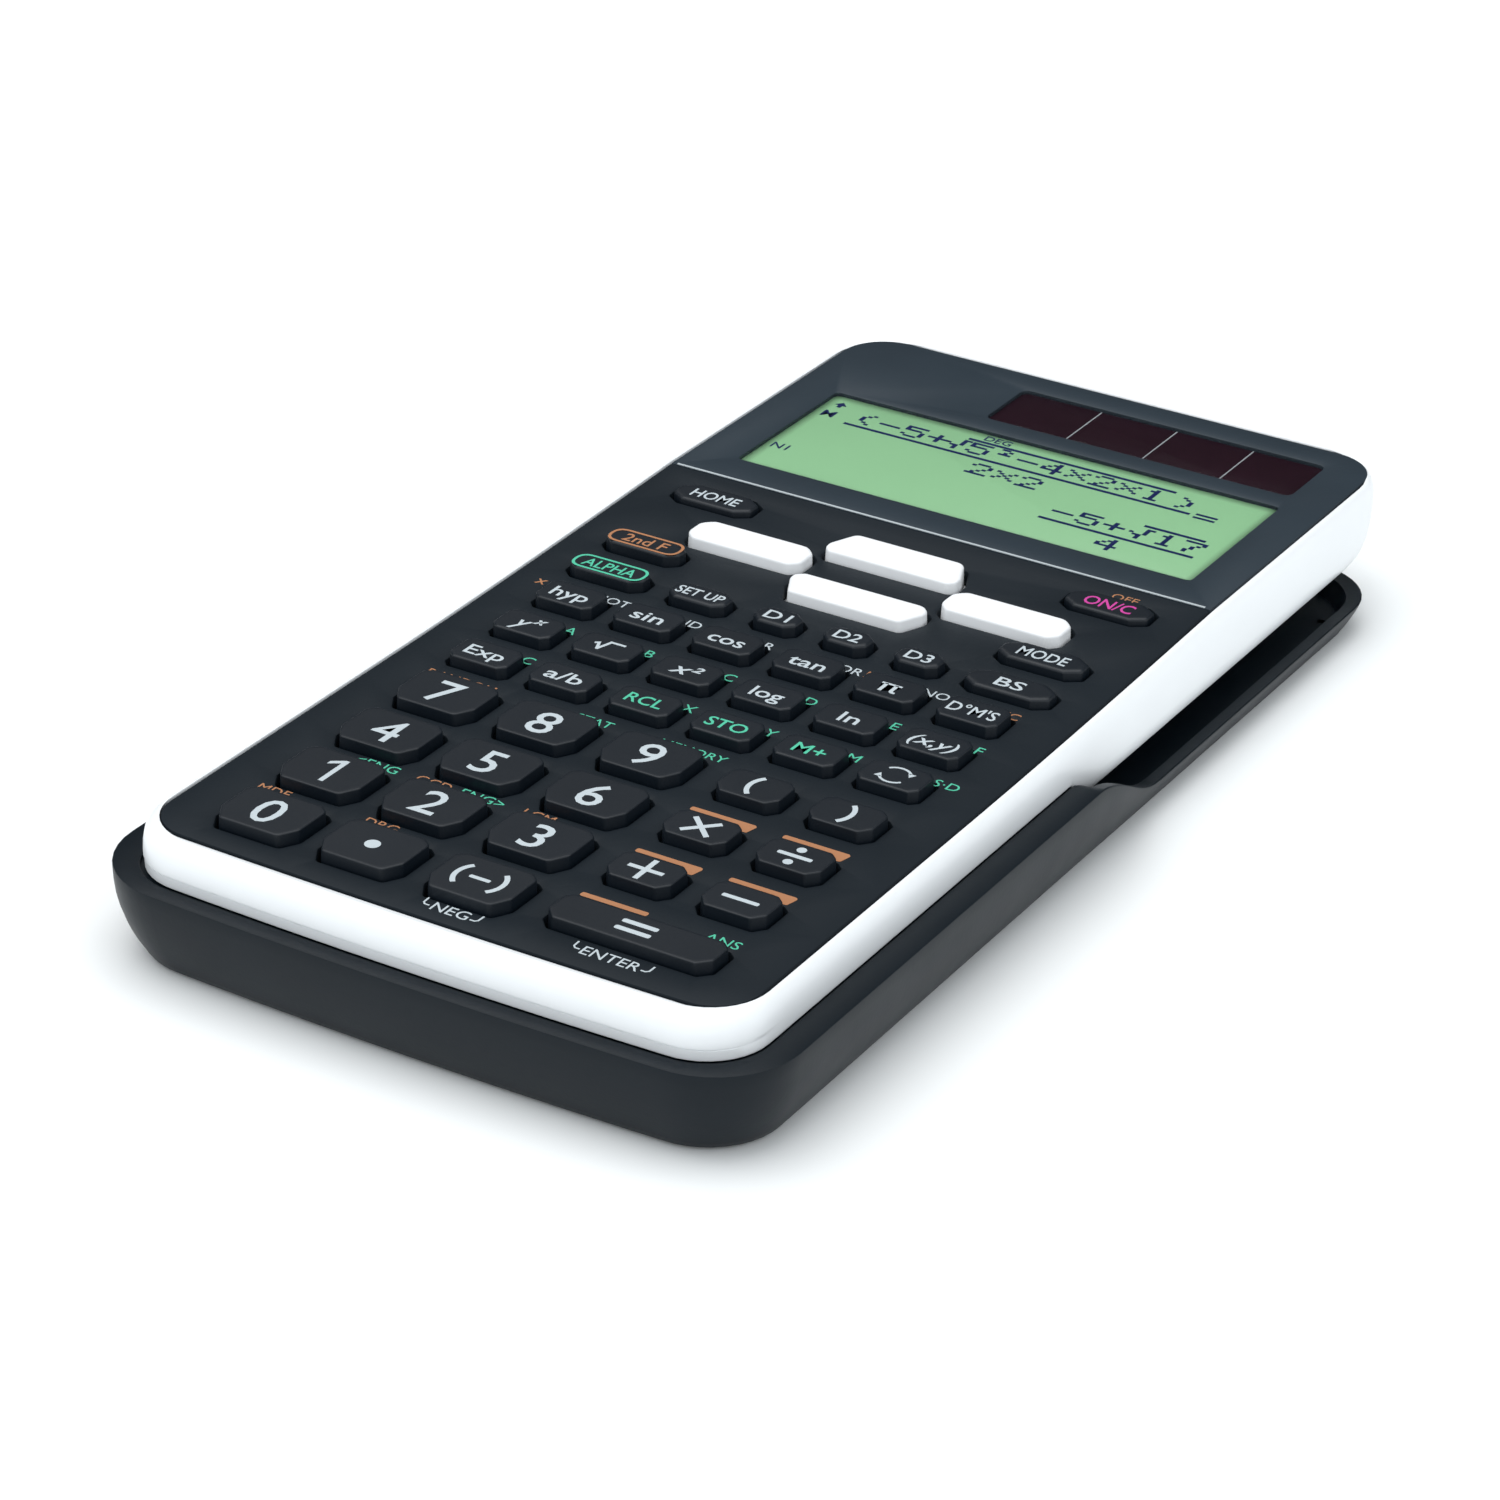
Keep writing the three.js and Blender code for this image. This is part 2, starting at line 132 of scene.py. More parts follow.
# ---- outlines in the plan view, counter-clockwise ----
def rounded(corners, radius, steps=4):
    """A convex outline with every corner turned into an arc-like curve."""
    points = []
    count = len(corners)
    for i, corner in enumerate(corners):
        corner = Vector(corner)
        before = Vector(corners[i - 1]) - corner
        after = Vector(corners[(i + 1) % count]) - corner
        half_angle = before.angle(after) / 2
        reach = min(radius / math.tan(half_angle), 0.48 * before.length, 0.48 * after.length)
        start = corner + before.normalized() * reach
        end = corner + after.normalized() * reach
        for k in range(steps + 1):
            t = k / steps
            points.append(start.lerp(corner, t).lerp(corner.lerp(end, t), t))
    return points


def circle(x, y, radius, count=24):
    turns = [2 * math.pi * i / count for i in range(count)]
    return [Vector((x + radius * math.cos(a), y + radius * math.sin(a))) for a in turns]


def rectangle(x0, x1, y0, y1, radius=0.0, steps=4):
    corners = [(x0, y0), (x1, y0), (x1, y1), (x0, y1)]
    return rounded(corners, radius, steps) if radius else [Vector(c) for c in corners]


def slab(half_width, near, far, near_radius, far_radius, bow, stations):
    """The outline of a rounded slab whose near edge bows out, with points at the given side stations."""
    near_steps, corner_steps, far_steps = 14, 10, 8
    points = []

    def corner(cx, cy, radius, start):
        for i in range(corner_steps + 1):
            angle = start + i / corner_steps * math.pi / 2
            points.append(Vector((cx + radius * math.cos(angle), cy + radius * math.sin(angle))))

    near_inner = half_width - near_radius
    corner(-near_inner, near + bow + near_radius, near_radius, math.pi)
    for i in range(1, near_steps):
        share = 2 * i / near_steps - 1
        points.append(Vector((near_inner * share, near + bow * share * share)))
    corner(near_inner, near + bow + near_radius, near_radius, -math.pi / 2)
    points.extend(Vector((half_width, y)) for y in stations)
    corner(half_width - far_radius, far - far_radius, far_radius, 0)
    for i in range(1, far_steps):
        points.append(Vector(((half_width - far_radius) * (1 - 2 * i / far_steps), far)))
    corner(-half_width + far_radius, far - far_radius, far_radius, math.pi / 2)
    points.extend(Vector((-half_width, y)) for y in reversed(stations))
    return points


def inside(outline, point):
    """True if the point lies in the outline, by counting crossings."""
    x, y = point
    found = False
    for a, b in zip(outline, outline[1:] + outline[:1]):
        if (a.y > y) != (b.y > y) and x < a.x + (y - a.y) * (b.x - a.x) / (b.y - a.y):
            found = not found
    return found


# ---- mesh making ----
SHARP_ANGLE = math.radians(32)                 # an edge that turns more than this is a crease


class Skin:
    """A mesh under construction, as rings of points joined by faces."""

    def __init__(self):
        self.points = []
        self.faces = []

    def ring(self, points):
        start = len(self.points)
        self.points.extend(Vector(p) for p in points)
        return list(range(start, len(self.points)))

    def level(self, outline, z):
        """A ring over a plan outline; z is one height or a function of y."""
        height = z if callable(z) else lambda y: z
        return self.ring((p.x, p.y, height(p.y)) for p in outline)

    def bridge(self, a, b):
        count = len(a)
        for i in range(count):
            j = (i + 1) % count
            self.faces.append((a[i], a[j], b[j], b[i]))

    def chain(self, rings):
        for a, b in zip(rings, rings[1:]):
            self.bridge(a, b)

    def cap(self, ring):
        self.faces.append(tuple(ring))

    def fill(self, outer, holes, lines=()):
        """Triangles between an outer ring and hole rings; lines are pairs of points kept as edges."""
        loops = [outer, *holes]
        used = [i for loop in loops for i in loop]
        place = {index: n for n, index in enumerate(used)}
        flat = [self.points[i].to_2d() for i in used]
        edges = [(place[a], place[b]) for loop in loops for a, b in zip(loop, loop[1:] + loop[:1])]
        edges += [(place[a], place[b]) for a, b in lines]
        _, _, triangles, origins, _, _ = delaunay_2d_cdt(flat, edges, [], 0, 1e-6)
        outlines = [[self.points[i].to_2d() for i in loop] for loop in loops]
        boxes = [(min(p.x for p in o), max(p.x for p in o), min(p.y for p in o), max(p.y for p in o))
                 for o in outlines]
        for triangle in triangles:
            corners = [used[origins[i][0]] for i in triangle]
            middle = sum((self.points[i].to_2d() for i in corners), Vector((0, 0))) / 3
            holds = [x0 < middle.x < x1 and y0 < middle.y < y1 and inside(o, middle)
                     for (x0, x1, y0, y1), o in zip(boxes, outlines)]
            if holds[0] and not any(holds[1:]):
                self.faces.append(tuple(corners))

    def piece(self, name, body, slot):
        """Turns the skin into a Blender piece that rides on a body."""
        mesh = bpy.data.meshes.new(name)
        mesh.from_pydata([to_frame(p) for p in self.points], [], self.faces)
        tidy(mesh)
        return place_piece(name, mesh, body, slot)


def to_frame(point):
    """A point of the panel's frame in the row frame, in metres."""
    return Vector((point[0], point[1] + ORIGIN_Y, point[2])) * MM


def tidy(mesh):
    build = bmesh.new()
    build.from_mesh(mesh)
    bmesh.ops.remove_doubles(build, verts=build.verts, dist=1e-7)
    bmesh.ops.recalc_face_normals(build, faces=build.faces)
    build.to_mesh(mesh)
    build.free()


def place_piece(name, mesh, body, slot):
    mesh.materials.append(LOOKS[slot])
    mesh.shade_smooth()
    mesh.set_sharp_from_angle(angle=SHARP_ANGLE)
    piece = bpy.data.objects.new(name, mesh)
    bpy.context.scene.collection.objects.link(piece)
    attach(piece, body)
    return piece


def block(skin, outline, bottom, top, edge=0.0):
    """Adds a closed upright block, with its upper edge rounded by a small radius."""
    rings = [skin.level(outline(0), bottom)]
    for inset, drop in quarter_round(edge) if edge else [(0.0, 0.0)]:
        rings.append(skin.level(outline(inset), top - drop))
    skin.chain(rings)
    skin.cap(rings[0])
    skin.cap(rings[-1])


# ---- materials ----
def linear(code):
    """A colour code such as 2b3238 as linear red, green, blue, alpha."""
    values = [int(code[i:i + 2], 16) / 255 for i in (0, 2, 4)]
    return [v / 12.92 if v <= 0.04045 else ((v + 0.055) / 1.055) ** 2.4 for v in values] + [1.0]


def finish(name, colour, roughness, grain=0.0, grain_scale=900.0, mottle=0.06, **sockets):
    """A moulded surface with faint cloudy colour, varying roughness and a fine moulded grain."""
    look = bpy.data.materials.new(name)
    look.use_nodes = True
    nodes, links = look.node_tree.nodes, look.node_tree.links
    shader = nodes["Principled BSDF"]
    for socket, value in sockets.items():
        shader.inputs[socket.replace("_", " ")].default_value = value
    place = nodes.new("ShaderNodeTexCoord")

    def noise(scale, detail):
        texture = nodes.new("ShaderNodeTexNoise")
        texture.inputs["Scale"].default_value = scale
        texture.inputs["Detail"].default_value = detail
        links.new(place.outputs["Object"], texture.inputs["Vector"])
        return texture.outputs["Fac"]

    def ramp(source, low, high):
        shades = nodes.new("ShaderNodeValToRGB")
        shades.color_ramp.elements[0].position = 0.3
        shades.color_ramp.elements[1].position = 0.7
        shades.color_ramp.elements[0].color = low
        shades.color_ramp.elements[1].color = high
        links.new(source, shades.inputs["Fac"])
        return shades.outputs["Color"]

    base = linear(colour)
    dark = [c * (1 - mottle) for c in base[:3]] + [1.0]
    light = [min(c * (1 + mottle), 1.0) for c in base[:3]] + [1.0]
    links.new(ramp(noise(60.0, 3.0), dark, light), shader.inputs["Base Color"])
    spread = nodes.new("ShaderNodeMapRange")
    spread.inputs["To Min"].default_value = roughness - 0.05
    spread.inputs["To Max"].default_value = roughness + 0.05
    links.new(noise(140.0, 4.0), spread.inputs["Value"])
    links.new(spread.outputs["Result"], shader.inputs["Roughness"])
    if grain:
        bump = nodes.new("ShaderNodeBump")
        bump.inputs["Strength"].default_value = grain
        bump.inputs["Distance"].default_value = 0.00005
        links.new(noise(grain_scale, 2.0), bump.inputs["Height"])
        links.new(bump.outputs["Normal"], shader.inputs["Normal"])
    return look


# Each slot's colour, roughness and further settings.
FINISHES = {
    "panel_plastic": ("181f25", 0.5, dict(grain=0.25, grain_scale=2200, Specular_IOR_Level=0.15)),
    "display_plastic": ("2a343c", 0.38, dict(grain=0.08, grain_scale=1500, Specular_IOR_Level=0.25)),
    "key_plastic": ("08121b", 0.42, dict(grain=0.12, grain_scale=2600, Specular_IOR_Level=0.4)),
    "white_key_plastic": ("f2f4f6", 0.34, dict(grain=0.04, mottle=0.01)),
    "white_plastic": ("eef1f3", 0.32, dict(grain=0.04, mottle=0.01, Coat_Weight=0.15, Coat_Roughness=0.2)),
    "cover_plastic": ("0b141b", 0.4, dict(grain=0.18, grain_scale=1800, Specular_IOR_Level=0.2)),
    "lcd_glass": ("a8e2ab", 0.35, dict(mottle=0.012)),
    "lcd_ink": ("0c1d60", 0.4, dict(mottle=0.04)),
    "solar_glass": ("260c1a", 0.3, dict(mottle=0.12, Specular_IOR_Level=0.2)),
    "line_print": ("b4bcc0", 0.4, dict(mottle=0.03)),
    "white_print": ("bcc6cb", 0.5, dict(mottle=0.02)),
    "mint_print": ("4dbd9b", 0.5, dict(mottle=0.03)),
    "tan_print": ("ad7650", 0.5, dict(mottle=0.03)),
    "magenta_print": ("c93f9a", 0.5, dict(mottle=0.03)),
    "silicone_rubber": ("aeb3b2", 0.75, dict(grain=0.2, grain_scale=800)),
    "board_laminate": ("2f6b46", 0.5, dict(grain=0.1, mottle=0.12)),
    "zinc_steel": ("b9bdc0", 0.3, dict(mottle=0.04, Metallic=1.0)),
    "clear_plastic": ("0d1011", 0.1, dict(mottle=0.01, Alpha=0.12)),
}
LOOKS = {slot: finish(slot, colour, roughness, **more)
         for slot, (colour, roughness, more) in FINISHES.items()}


# ---- keys ----
HOLE_MARGIN = 0.4
KEY_FOOT_Z = KEYBOARD_Z - 3.6
FLANGE_DROP = PANEL_SKIN + 0.3


def style(half, near, far, flange, bevel, corner):
    """Half sizes of a key's top, how much its near and far corners are cut across and along, how far
    its foot flange stands out past the hole, its upper bevel's width and its corners' radius."""
    return dict(half=half, near=near, far=far, flange=flange, bevel=bevel, corner=corner)


KEY_STYLES = {
    "number": style((5.35, 4.2), (1.35, 2.4), (1.1, 0.9), 0.5, 0.15, 0.9),
    "operator": style((4.15, 2.95), (1.2, 1.5), (1.0, 0.9), 0.6, 0.15, 0.6),
    "equals": style((10.4, 2.8), (1.4, 1.5), (1.0, 0.9), 0.6, 0.15, 0.6),
    "function": style((4.05, 2.7), (0.9, 1.0), (0.8, 0.8), 0.6, 0.22, 0.4),
    "wide": style((5.7, 2.3), (1.9, 1.3), (1.9, 1.3), 0.5, 0.4, 0.6),
    "low": style((5.7, 2.35), (1.9, 1.3), (1.9, 1.3), 0.5, 0.35, 0.6),
    "shift": style((5.4, 2.1), (1.6, 1.3), (1.6, 1.3), 0.5, 0.35, 0.9),
    "medium": style((4.0, 2.1), (1.3, 1.1), (1.3, 1.1), 0.5, 0.4, 0.5),
    "small": style((3.0, 2.05), (1.2, 1.1), (1.2, 1.1), 0.5, 0.4, 0.5),
    "side_arrow": style((8.2, 2.8), (1.3, 1.3), (1.3, 1.3), 0.2, 0.45, 1.4),
    "up_arrow": style((9.3, 3.0), (0.9, 0.9), (1.6, 3.8), 0.2, 0.45, 1.1),
    "down_arrow": style((9.4, 2.7), (1.6, 3.4), (0.9, 0.9), 0.2, 0.45, 1.1),
}

# Each key's style and legend: words, ink, height and width (0 keeps the font's own width). Where
# SYMBOLS has a drawing for a key it takes the words' place, and a key with no ink is plain.
WHITE, MINT, TAN, MAGENTA = "white_print", "mint_print", "tan_print", "magenta_print"
KEYS = {
    **{digit: ("number", digit, WHITE, 5.5, 0) for digit in "0123456789"},
    **{name: ("number", "", WHITE, 0, 0) for name in ("decimal_point", "negative")},
    **{name: ("operator", "", WHITE, 0, 0) for name in ("plus", "minus", "times", "divide")},
    "equals": ("equals", "", WHITE, 0, 0),
    **{name: ("operator", "", WHITE, 0, 0) for name in ("open_bracket", "close_bracket")},
    "exponent": ("function", "Exp", WHITE, 2.4, 5.3),
    "fraction": ("function", "a/b", WHITE, 2.5, 5.0),
    "recall": ("function", "RCL", MINT, 2.25, 4.95),
    "store": ("function", "STO", MINT, 2.25, 5.4),
    "memory_plus": ("function", "M+", MINT, 2.3, 4.1),
    "change": ("function", "", WHITE, 0, 0),
    "power": ("function", "yˣ", WHITE, 2.7, 3.8),
    "root": ("function", "", WHITE, 0, 0),
    "square": ("function", "x²", WHITE, 2.7, 3.8),
    "log": ("function", "log", WHITE, 2.5, 4.25),
    "ln": ("function", "ln", WHITE, 2.5, 2.6),
    "coordinates": ("function", "(x,y)", WHITE, 2.3, 6.1),
    "hyp": ("function", "hyp", WHITE, 2.5, 5.15),
    "sin": ("function", "sin", WHITE, 2.5, 4.35),
    "cos": ("function", "cos", WHITE, 2.5, 4.85),
    "tan": ("function", "tan", WHITE, 2.5, 4.9),
    "pi": ("function", "π", WHITE, 2.9, 2.7),
    "degrees": ("function", "D°M'S", WHITE, 2.3, 6.4),
    "alpha": ("shift", "ALPHA", MINT, 2.1, 7.4),
    "second_function": ("shift", "2nd F", TAN, 2.1, 6.2),
    "setup": ("medium", "SET UP", WHITE, 2.0, 6.5),
    "mode": ("wide", "MODE", WHITE, 2.3, 6.6),
    "d1": ("small", "D1", WHITE, 2.2, 3.4),
    "d2": ("small", "D2", WHITE, 2.2, 3.5),
    "d3": ("small", "D3", WHITE, 2.2, 3.5),
    "backspace": ("wide", "BS", WHITE, 2.25, 3.75),
    "home": ("low", "HOME", WHITE, 2.2, 6.8),
    "on_clear": ("low", "ON/C", MAGENTA, 2.4, 6.6),
    "arrow_left": ("side_arrow", "", "", 0, 0),
    "arrow_right": ("side_arrow", "", "", 0, 0),
    "arrow_up": ("up_arrow", "", "", 0, 0),
    "arrow_down": ("down_arrow", "", "", 0, 0),
}
LEANING = ("power", "square", "coordinates")   # legends in italics
LEAN = 0.25
FINE_WEIGHT = 0.006                            # how much a legend's strokes are thickened
BOLD_WEIGHT = 0.012
SHIFT_RING = (10.3, 3.7, 0.36)                 # across, along and width of a shift key's ring


def key_facts(name):
    """Where a key stands, from its CAD node, with its style."""
    low, high = cad_box(f"key_{name}")
    return {
        "x": (low.x + high.x) / 2, "y": (low.y + high.y) / 2 - ORIGIN_Y, "top": high.z,
        **KEY_STYLES[KEYS[name][0]],
    }


def key_outline(key, margin):
    """An oblong with cut, softened corners, grown or shrunk by a margin."""
    width, depth = (size + margin for size in key["half"])
    (near_x, near_y), (far_x, far_y) = key["near"], key["far"]
    room = min(1.0, (2 * depth - 0.5) / (near_y + far_y))      # the cuts give way as it shrinks
    near_y, far_y = near_y * room, far_y * room
    corners = [
        (-width + near_x, -depth), (width - near_x, -depth), (width, -depth + near_y),
        (width, depth - far_y), (width - far_x, depth), (-width + far_x, depth),
        (-width, depth - far_y), (-width, -depth + near_y),
    ]
    return [p + Vector((key["x"], key["y"])) for p in rounded(corners, key["corner"])]


def key_cap(name):
    """A hollow keycap with a foot flange, upright sides and a softened upper edge."""
    key = key_facts(name)
    surface = panel_z(key["y"])
    wall, ceiling, draft, crown = 0.9, 1.2, 0.1, 0.3
    flange = HOLE_MARGIN + key["flange"]
    skin = Skin()

    def level(margin, z):
        return skin.level(key_outline(key, margin), z)

    rings = [
        level(-wall, key["top"] - ceiling), level(-wall, KEY_FOOT_Z), level(flange, KEY_FOOT_Z),
        level(flange, surface - FLANGE_DROP), level(draft, surface - FLANGE_DROP),
    ]
    bevel = key["bevel"]
    rings += [level(-inset, key["top"] - drop) for inset, drop in quarter_round(bevel, 4)]
    rings.append(level(-bevel - crown, key["top"]))
    skin.chain(rings)
    skin.cap(rings[0])
    skin.cap(rings[-1])
    slot = "white_key_plastic" if name.startswith("arrow") else "key_plastic"
    piece = skin.piece(f"keycap_{name}", f"key_{name}", slot)
    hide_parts(f"key_{name}")


# ---- printing ----
INK = 0.02                                     # thickness of a print
CAP_SHARE = 1.38                               # the font's size for a cap height of 1


class Print:
    """Ink on a surface, built up from words and shapes as thin closed solids."""

    def __init__(self, surface):
        self.surface = surface if callable(surface) else lambda y: surface
        self.words = bmesh.new()
        self.shapes = Skin()

    def text(self, words, x, y, height, width=0.0, lean=0.0, weight=0.0):
        """Adds words centred on a place, drawn out to a width if one is given."""
        curve = bpy.data.curves.new("words", "FONT")
        curve.body = words
        curve.size = height * CAP_SHARE
        curve.shear = lean
        curve.offset = weight * height
        curve.extrude = INK / 2
        curve.resolution_u = 3
        holder = bpy.data.objects.new("words", curve)
        bpy.context.scene.collection.objects.link(holder)
        bpy.context.view_layer.update()
        graph = bpy.context.evaluated_depsgraph_get()
        flat = bpy.data.meshes.new_from_object(holder.evaluated_get(graph))
        left = min(v.co.x for v in flat.vertices)
        right = max(v.co.x for v in flat.vertices)
        stretch = width / (right - left) if width else 1.0
        for vertex in flat.vertices:
            across = x + (vertex.co.x - (left + right) / 2) * stretch
            along = y - height / 2 + vertex.co.y
            vertex.co = to_frame((across, along, self.surface(along) + INK + vertex.co.z))
        self.words.from_mesh(flat)
        bpy.data.objects.remove(holder)
        bpy.data.meshes.remove(flat)
        bpy.data.curves.remove(curve)

    def shape(self, outline, holes=()):
        """Adds an outline as a thin block, with holes through it."""
        upper, lower = [], []
        for loop in (outline, *holes):
            low = self.shapes.level(loop, lambda y: self.surface(y) + INK / 2)
            high = self.shapes.level(loop, lambda y: self.surface(y) + 3 * INK / 2)
            self.shapes.bridge(low, high)
            lower.append(low)
            upper.append(high)
        for loops in (lower, upper):
            self.shapes.fill(loops[0], loops[1:])

    def piece(self, name, body, slot):
        """Turns the ink into a Blender piece that rides on a body."""
        flat = bpy.data.meshes.new(name)
        flat.from_pydata([to_frame(p) for p in self.shapes.points], [], self.shapes.faces)
        self.words.from_mesh(flat)
        bpy.data.meshes.remove(flat)
        mesh = bpy.data.meshes.new(name)
        bmesh.ops.remove_doubles(self.words, verts=self.words.verts, dist=1e-7)
        bmesh.ops.recalc_face_normals(self.words, faces=self.words.faces)
        self.words.to_mesh(mesh)
        self.words.free()
        return place_piece(name, mesh, body, slot)


def bar(length, thickness, x=0.0, y=0.0):
    across, along = length / 2, thickness / 2
    return rectangle(x - across, x + across, y - along, y + along, thickness * 0.35, 2)


def cross(across, along, thickness, turn=0.0):
    """The outline of a plus sign, turned by an angle in degrees."""
    t = thickness / 2
    a, b = across / 2, along / 2
    corners = [
        (a, -t), (a, t), (t, t), (t, b), (-t, b), (-t, t),
        (-a, t), (-a, -t), (-t, -t), (-t, -b), (t, -b), (t, -t),
    ]
    angle = math.radians(turn)
    return [Vector((x * math.cos(angle) - y * math.sin(angle), x * math.sin(angle) + y * math.cos(angle)))
            for x, y in corners]


def arc(x, y, radius, start, end, count=10):
    """Points along an arc between two angles in degrees."""
    turns = [math.radians(mix(start, end, i / count)) for i in range(count + 1)]
    return [Vector((x + radius * math.cos(a), y + radius * math.sin(a))) for a in turns]


def ribbon(path, width):
    """The outline of a line of some width along a path."""
    path = [Vector(p) for p in path]
    left, right = [], []
    for i, point in enumerate(path):
        before = path[max(i - 1, 0)]
        after = path[min(i + 1, len(path) - 1)]
        along = (after - before).normalized()
        side = Vector((-along.y, along.x)) * (width / 2)
        left.append(point + side)
        right.append(point - side)
    return right + left[::-1]


def bracket(x, height, facing):
    """A round bracket; facing is 1 for an opening and -1 for a closing one."""
    radius = height * 0.72
    spread = math.degrees(math.asin(height / 2 / radius))
    middle = 180 if facing > 0 else 0
    return ribbon(arc(x + facing * radius, 0, radius, middle - spread, middle + spread), 0.62)


def arrow_head(radius, turn, size):
    """A three-cornered head centred on a circle about the origin."""
    middle = Vector((radius * math.cos(turn), radius * math.sin(turn)))
    return [middle + Vector((size * math.cos(a), size * math.sin(a)))
            for a in (turn, turn + 2.1, turn + 4.2)]


STROKE = 0.66
TURN_RADIUS = 1.85                             # the circle that the two turning arrows lie on
# The drawn legends, as outlines about a key's middle.
SYMBOLS = {
    "1": [[Vector(p) for p in (
        (0.2, -2.75), (0.85, -2.75), (0.85, 2.75), (0.3, 2.75), (-1.2, 1.75), (-1.2, 1.05), (0.2, 1.95),
    )]],
    "decimal_point": [circle(0, 0, 0.95, 16)],
    "negative": [bracket(-3.0, 4.3, 1), bar(2.7, 0.6), bracket(3.0, 4.3, -1)],
    "plus": [cross(4.5, 4.7, STROKE)],
    "minus": [bar(4.65, STROKE)],
    "times": [cross(4.9, 4.9, STROKE, 45)],
    "divide": [bar(4.4, STROKE), circle(0, 1.55, 0.6, 14), circle(0, -1.55, 0.6, 14)],
    "equals": [bar(4.5, 0.75, 0, 0.82), bar(4.5, 0.75, 0, -0.82)],
    "open_bracket": [bracket(-0.6, 4.25, 1)],
    "close_bracket": [bracket(0.6, 4.25, -1)],
    "root": [[Vector(p) for p in (
        (-1.95, 0.25), (-1.8, -0.1), (-1.5, 0.1), (-1.0, -1.3), (-0.65, -1.3), (0.02, 0.95), (1.85, 0.95),
        (1.85, 1.35), (-0.3, 1.35), (-0.85, -0.55), (-1.3, 0.65),
    )]],
    "change": [
        *(ribbon(arc(0, 0, TURN_RADIUS, start, start + 105), 0.32) for start in (35, 215)),
        *(arrow_head(TURN_RADIUS, turn, 0.6) for turn in (math.radians(28), math.radians(208))),
    ],
}


def stadium_ring(key, across, along, width):
    """A ring with round ends about a key's middle, as an outline and a hole."""
    def loop(inset):
        x, y = across / 2 - inset, along / 2 - inset
        return rectangle(key["x"] - x, key["x"] + x, key["y"] - y, key["y"] + y, y, 8)
    return loop(0.0), [loop(width)]


def key_legend(name):
    key_style, words, slot, height, width = KEYS[name]
    if not slot:
        return
    key = key_facts(name)
    ink = Print(key["top"])
    if words and name not in SYMBOLS:
        lean = LEAN if name in LEANING else 0.0
        weight = FINE_WEIGHT if key_style == "number" else BOLD_WEIGHT
        ink.text(words, key["x"], key["y"], height, width, lean, weight)
    for outline in SYMBOLS.get(name, []):
        ink.shape([p + Vector((key["x"], key["y"])) for p in outline])
    if key_style == "shift":
        ink.shape(*stadium_ring(key, *SHIFT_RING))
    ink.piece(f"legend_{name}", f"key_{name}", slot)


# ---- front case ----
STEP = (113.5, 113.6)                          # the panel drops to the display plate's seat between these
PANEL_STATIONS = [8, 20, 32, 44, 54, 60, 66, 72, 78, 84, 90, 96, 102, 108, *STEP, 125, 140, 154]
LCD = dict(x0=-32.4, x1=33.0, y0=120.0, y1=146.0)
SOLAR = dict(x0=-11.9, x1=32.6, y0=149.8, y1=161.0)
LCD_RADIUS = 0.8                               # corners of the openings in the display plate
SOLAR_RADIUS = 1.3


def panel_outline(inset):
    return slab(PANEL_HALF_WIDTH - inset, inset, PANEL_FAR - inset,
                PANEL_NEAR_RADIUS - inset, PANEL_FAR_RADIUS - inset, PANEL_BOW, PANEL_STATIONS)


def front_shell():
    """The dark case front: a gently rising panel with a softened opening for every key, and a skirt."""
    skin = Skin()

    def top(y):
        return panel_z(y) if y < sum(STEP) / 2 else SEAT_Z

    def under(y):
        return top(y) - PANEL_SKIN

    edge = 0.25
    skirt = 1.2
    outer = []
    for inset, drop in reversed(quarter_round(edge)):
        outer.append(skin.level(panel_outline(inset), lambda y, d=drop: top(y) - d))
    outer.append(skin.level(panel_outline(0), SKIRT_FOOT_Z))
    outer.append(skin.level(panel_outline(skirt), SKIRT_FOOT_Z))
    outer.append(skin.level(panel_outline(skirt), under))
    skin.chain(outer)
    upper_holes, lower_holes = [], []
    for name in KEYS:
        key = key_facts(name)
        rings = []
        for inset, drop in reversed(quarter_round(edge)):
            outline = key_outline(key, HOLE_MARGIN + inset)
            rings.append(skin.level(outline, lambda y, d=drop: top(y) - d))
        rings.append(skin.level(key_outline(key, HOLE_MARGIN), under))
        skin.chain(rings)
        upper_holes.append(rings[0])
        lower_holes.append(rings[-1])
    for view in (LCD, SOLAR):
        rings = [skin.level(rectangle(**view), top), skin.level(rectangle(**view), under)]
        skin.chain(rings)
        upper_holes.append(rings[0])
        lower_holes.append(rings[-1])
    for outline, holes in ((outer[0], upper_holes), (outer[-1], lower_holes)):
        lines = [[i for i in outline if abs(skin.points[i].y - y) < 1e-3] for y in STEP]
        skin.fill(outline, holes, lines)
    piece = skin.piece("front_shell", CALCULATOR, "panel_plastic")
    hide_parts("front_case")


